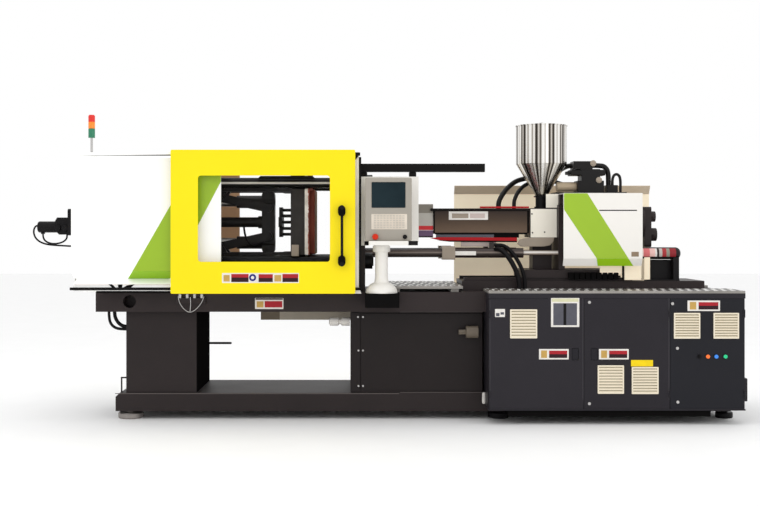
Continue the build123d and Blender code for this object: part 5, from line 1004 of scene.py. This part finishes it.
FRONT_BOXES = {
    # The dark band under the cabinet and the dark strip under the clamp's ledge are painted shadow
    "cabinet_floor_shadow": ((508, 409.7, 711, 416.6), -0.620, 0.2, "machine", "side_black", 0.004),
    "ledge_underside_shadow": ((96.2, 289.4, 170, 293.0), -0.600, 0.14, "machine", "side_black", 0.002),
    "guard_top_strip": ((430.8, 208.4, 528.6, 211.0), -0.156, 0.006, "carriage", "side_black", 0.001),
    "guard_red_rail": ((480, 206.4, 529, 208.2), -0.152, 0.02, "carriage", "red_strip", 0.001),
    "guard_left_trim": ((433.6, 211.0, 434.9, 233.4), -0.1525, 0.003, "carriage", "side_black", 0.0005),
    "guard_right_trim": ((527.2, 211.0, 529.2, 233.4), -0.1525, 0.003, "carriage", "side_black", 0.0005),
    "guard_low_trim": ((434.9, 232.6, 527.2, 234.4), -0.1525, 0.02, "carriage", "side_black", 0.001),
    "guard_pale_tray": ((436, 234.4, 494, 237.4), GUARD_Y, 0.02, "carriage", "label_grey", 0.002),
    "guard_dark_tray": ((494, 234.4, 519, 237.6), GUARD_Y, 0.02, "carriage", "side_black", 0.002),
    # Pinkish-grey strip for the shaded area below the guard's red strip: painted shade
    "guard_pink_shade_strip": ((461, 241.8, 496, 246.6), -0.140, 0.02, "carriage", "pink_grey", 0.002),
    "cylinder_plate": ((455.2, 251.2, 476, 255.3), -0.2395, 0.003, "machine", "label_white", 0.0005),
    "feed_side_plate": ((546, 194, 561.6, 207.6), -0.163, 0.003, "carriage", "feed_cover", 0.0005),
    "cover_end_panel": ((624.6, 259.5, 641.2, 280), -0.300, 0.02, "carriage", "tan", 0.002),
    "cover_end_bar": ((622.6, 266.0, 624.2, 280), -0.305, 0.02, "carriage", "side_black", 0.001),
    "cover_low_panel": ((600, 266.0, 621.6, 274), -0.295, 0.012, "carriage", "tan", 0.002),
    "moving_platen_box": ((291.4, 244.8, 298.8, 256.2), -0.345, 0.014, "moving", "joint_block", 0.003),
    "panel_left_foot": ((364.4, 241.3, 369.4, 245.3), -0.700, 0.03, "panel", "side_black", 0.003),
}
LEDGE_CLIPS = (
    ((108.5, 284.2), (112.0, 284.2), (117.5, 289.6), (114.0, 289.6)),
    ((117.5, 284.4), (122.5, 284.4), (121.6, 289.4), (118.4, 287.6)),
    ((123.0, 287.6), (127.0, 285.4), (134.5, 284.2), (131.0, 287.4), (126.0, 288.4)),
)
RED_STRIP = ((429.6, 238.0), (440, 237.2), (517, 237.6), (517, 240.9), (440, 240.4))
UNDER_STRIP = ((437, 240.4), (517, 240.9), (517, 242.2), (450, 241.8))
FEED_TRAY = ((517.4, 243.8), (519.5, 239.6), (527, 237.6), (554.4, 237.4), (553.6, 241.6), (550, 245.4),
             (544, 246.6), (521, 246.6))
PLATEN_GUARD = ((256.4, 179.4), (260.5, 175.9), (312.5, 175.9), (316.4, 179.4))
CHAIN_LEFT, CHAIN_TOP, CHAIN_LOW = 569, 272.6, 279.6
CHAIN_PITCH, CHAIN_LINK = 5.6, 4.9
CHAIN_LINKS = 9


def front_box(name, spot, y, depth, body, material, bevel):
    """Bevelled box whose front covers a rectangle of photograph pixels."""
    prism(name, photo_rect(spot, y), y, depth, body, material, bevel)


def front_plate(name, pixels, y, depth, body, material, bevel):
    """Bevelled plate whose front covers an outline of photograph pixels."""
    prism(name, [photo_point(px, py, y) for px, py in pixels], y, depth, body, material, bevel)


for name, values in FRONT_BOXES.items():
    front_box(name, *values)
for i in range(CHAIN_LINKS):
    left = CHAIN_LEFT + CHAIN_PITCH * i
    front_box(f"cable_chain_{i + 1}", (left, CHAIN_TOP, left + CHAIN_LINK, CHAIN_LOW), -0.300, 0.05,
              "carriage", "side_black", 0.004)
for i, pixels in enumerate(LEDGE_CLIPS):
    front_plate(f"ledge_clip_{i + 1}", pixels, -0.664, 0.004, "machine", "side_black", 0.001)
front_plate("guard_red_strip", RED_STRIP, -0.156, 0.03, "carriage", "red_strip", 0.001)
front_plate("guard_under_strip", UNDER_STRIP, -0.152, 0.03, "carriage", "side_black", 0.001)
front_plate("feed_tray", FEED_TRAY, -0.172, 0.018, "carriage", "joint_block", 0.004)
front_plate("platen_top_guard", PLATEN_GUARD, -0.362, 0.016, "moving", "rail_black", 0.002)

# Screws and other turned pieces, with profiles as shares of a size or in metres

SCREW_ROWS = ((1.0, 0.0), (1.0, 0.55), (0.82, 1.0), (0.5, 1.0), (0.46, 0.5), (0.05, 0.5))
SCREW_RISE = 0.003
POST_SCREWS = ((358, 317), (363, 317), (358.5, 350.5), (363, 350.5), (358.5, 386), (363, 386))
FEED_COVER_SCREWS = ((531.9, 213.9), (532.5, 232.7), (544.6, 232.1))
ROUND_FIELD_PIXEL = (252.6, 277.6)
ROUND_FIELD_Y = -0.7216
BLUE_THICK, PALE_THICK = 0.0006, 0.0005
DOME_RADIUS, DOME_HEIGHT = 0.1185, 0.088
SENSOR_PIXEL, SENSOR_Y = (484, 404), -0.400
FITTING_PIXEL, FITTING_Y = (329, 321.6), -0.300
FITTING_PROFILE = ((0.018, 0.0), (0.032, 0.010), (0.032, 0.07), (0.020, 0.08), (0.020, 0.09), (0.032, 0.10),
                   (0.032, 0.16))
SLEEVE_PROFILE = ((0.030, 0.0), (0.038, 0.006), (0.038, 0.19), (0.030, 0.196))
SLEEVE_PLACE = (1.424, 0.0, 1.790)
LEG_ROD_PLACE = (-1.387, 0.30, 0.515)
VALVE_CAPS = ((593.4, 163.2), (599.2, 180))
VALVE_CAP_PROFILE = ((0.012, 0.0), (0.024, 0.006), (0.024, 0.03))
VALVE_FACE_Y, VALVE_CAP_Y = -0.09, -0.092


def screw_heads(name, pixels, y, radius, body, material):
    """Row of domed screw heads with sockets, on a face that looks at the operator."""
    profile = [(share * radius, -lift * SCREW_RISE) for share, lift in SCREW_ROWS]
    for i, (px, py) in enumerate(pixels):
        turned(f"{name}_{i + 1}", profile, (photo_x(px, y), y, photo_z(py, y)), "Y", body, material, 16)


screw_heads("post_screw", POST_SCREWS, MID_PANEL_Y, 0.008, "machine", "steel")
screw_heads("feed_cover_screw", FEED_COVER_SCREWS, -0.165, 0.006, "carriage", "black")

x, z = photo_point(*ROUND_FIELD_PIXEL, ROUND_FIELD_Y)
turned("front_door_blue_field", ((0.026, 0.0), (0.026, -BLUE_THICK)), (x, ROUND_FIELD_Y, z), "Y",
       "front_door", "label_blue")
turned("front_door_pale_field", ((0.012, 0.0), (0.012, -PALE_THICK)), (x, ROUND_FIELD_Y - BLUE_THICK, z),
       "Y", "front_door", "label_white")

slopes = [math.radians(a) for a in range(0, 74, 8)]
dome = [(DOME_RADIUS * math.cos(a), DOME_HEIGHT * math.sin(a)) for a in slopes]
turned("pedestal_dome", dome, MAST, "Z", "machine", "white", 48)

x, z = photo_point(*SENSOR_PIXEL, SENSOR_Y)
turned("base_white_sensor", capsule(0.015, 0.09), (x, SENSOR_Y, z), "Z", "machine", "label_white", 16)
x, z = photo_point(*FITTING_PIXEL, FITTING_Y)
turned("bed_white_fitting", FITTING_PROFILE, (x, FITTING_Y, z), "X", "machine", "label_white")
turned("leg_rod", capsule(0.009, 0.19), LEG_ROD_PLACE, "X", "machine", "side_black", 16)
turned("manifold_sleeve", SLEEVE_PROFILE, SLEEVE_PLACE, "X", "carriage", "pump")
for i, pixel in enumerate(VALVE_CAPS):
    x, z = photo_point(*pixel, VALVE_FACE_Y)
    place = (x, VALVE_CAP_Y, z)
    turned(f"valve_cap_{i + 1}", VALVE_CAP_PROFILE, place, "Y", "carriage", "joint_block", 24)

# Lights and floor

FLOOR_CORNERS = ((-30, -25, 0), (30, -25, 0), (30, 30, 0), (-30, 30, 0))

world = bpy.data.worlds.new("studio")
world.use_nodes = True
background = world.node_tree.nodes["Background"]
background.inputs["Color"].default_value = (1.0, 1.0, 1.0, 1.0)
background.inputs["Strength"].default_value = 1.0
bpy.context.scene.world = world


def area_light(name, place, aim, size, power):
    data = bpy.data.lights.new(name, "AREA")
    data.shape = "RECTANGLE"
    data.size, data.size_y = size
    data.energy = power
    obj = bpy.data.objects.new(name, data)
    obj.location = place
    obj.rotation_euler = (Vector(aim) - Vector(place)).to_track_quat("-Z", "Y").to_euler()
    bpy.context.scene.collection.objects.link(obj)


area_light("key_light", (-3.2, -7.5, 5.2), (0, 0, 1.1), (4.0, 3.0), 45.0)
area_light("fill_light", (4.5, -7.0, 3.4), (0.6, 0, 1.0), (4.0, 3.0), 25.0)
area_light("top_light", (0.0, -0.5, 6.5), (0, 0, 0.5), (7.0, 4.0), 90.0)

floor_mesh = bpy.data.meshes.new("floor")
floor_mesh.from_pydata(FLOOR_CORNERS, [], [(0, 1, 2, 3)])
floor = bpy.data.objects.new("floor", floor_mesh)
bpy.context.scene.collection.objects.link(floor)
LOOKS["floor"] = paint("floor_paint", (0.95, 0.95, 0.95), 0.75, 30.0, 0.01, gloss=0.1)
dress(floor, "floor")
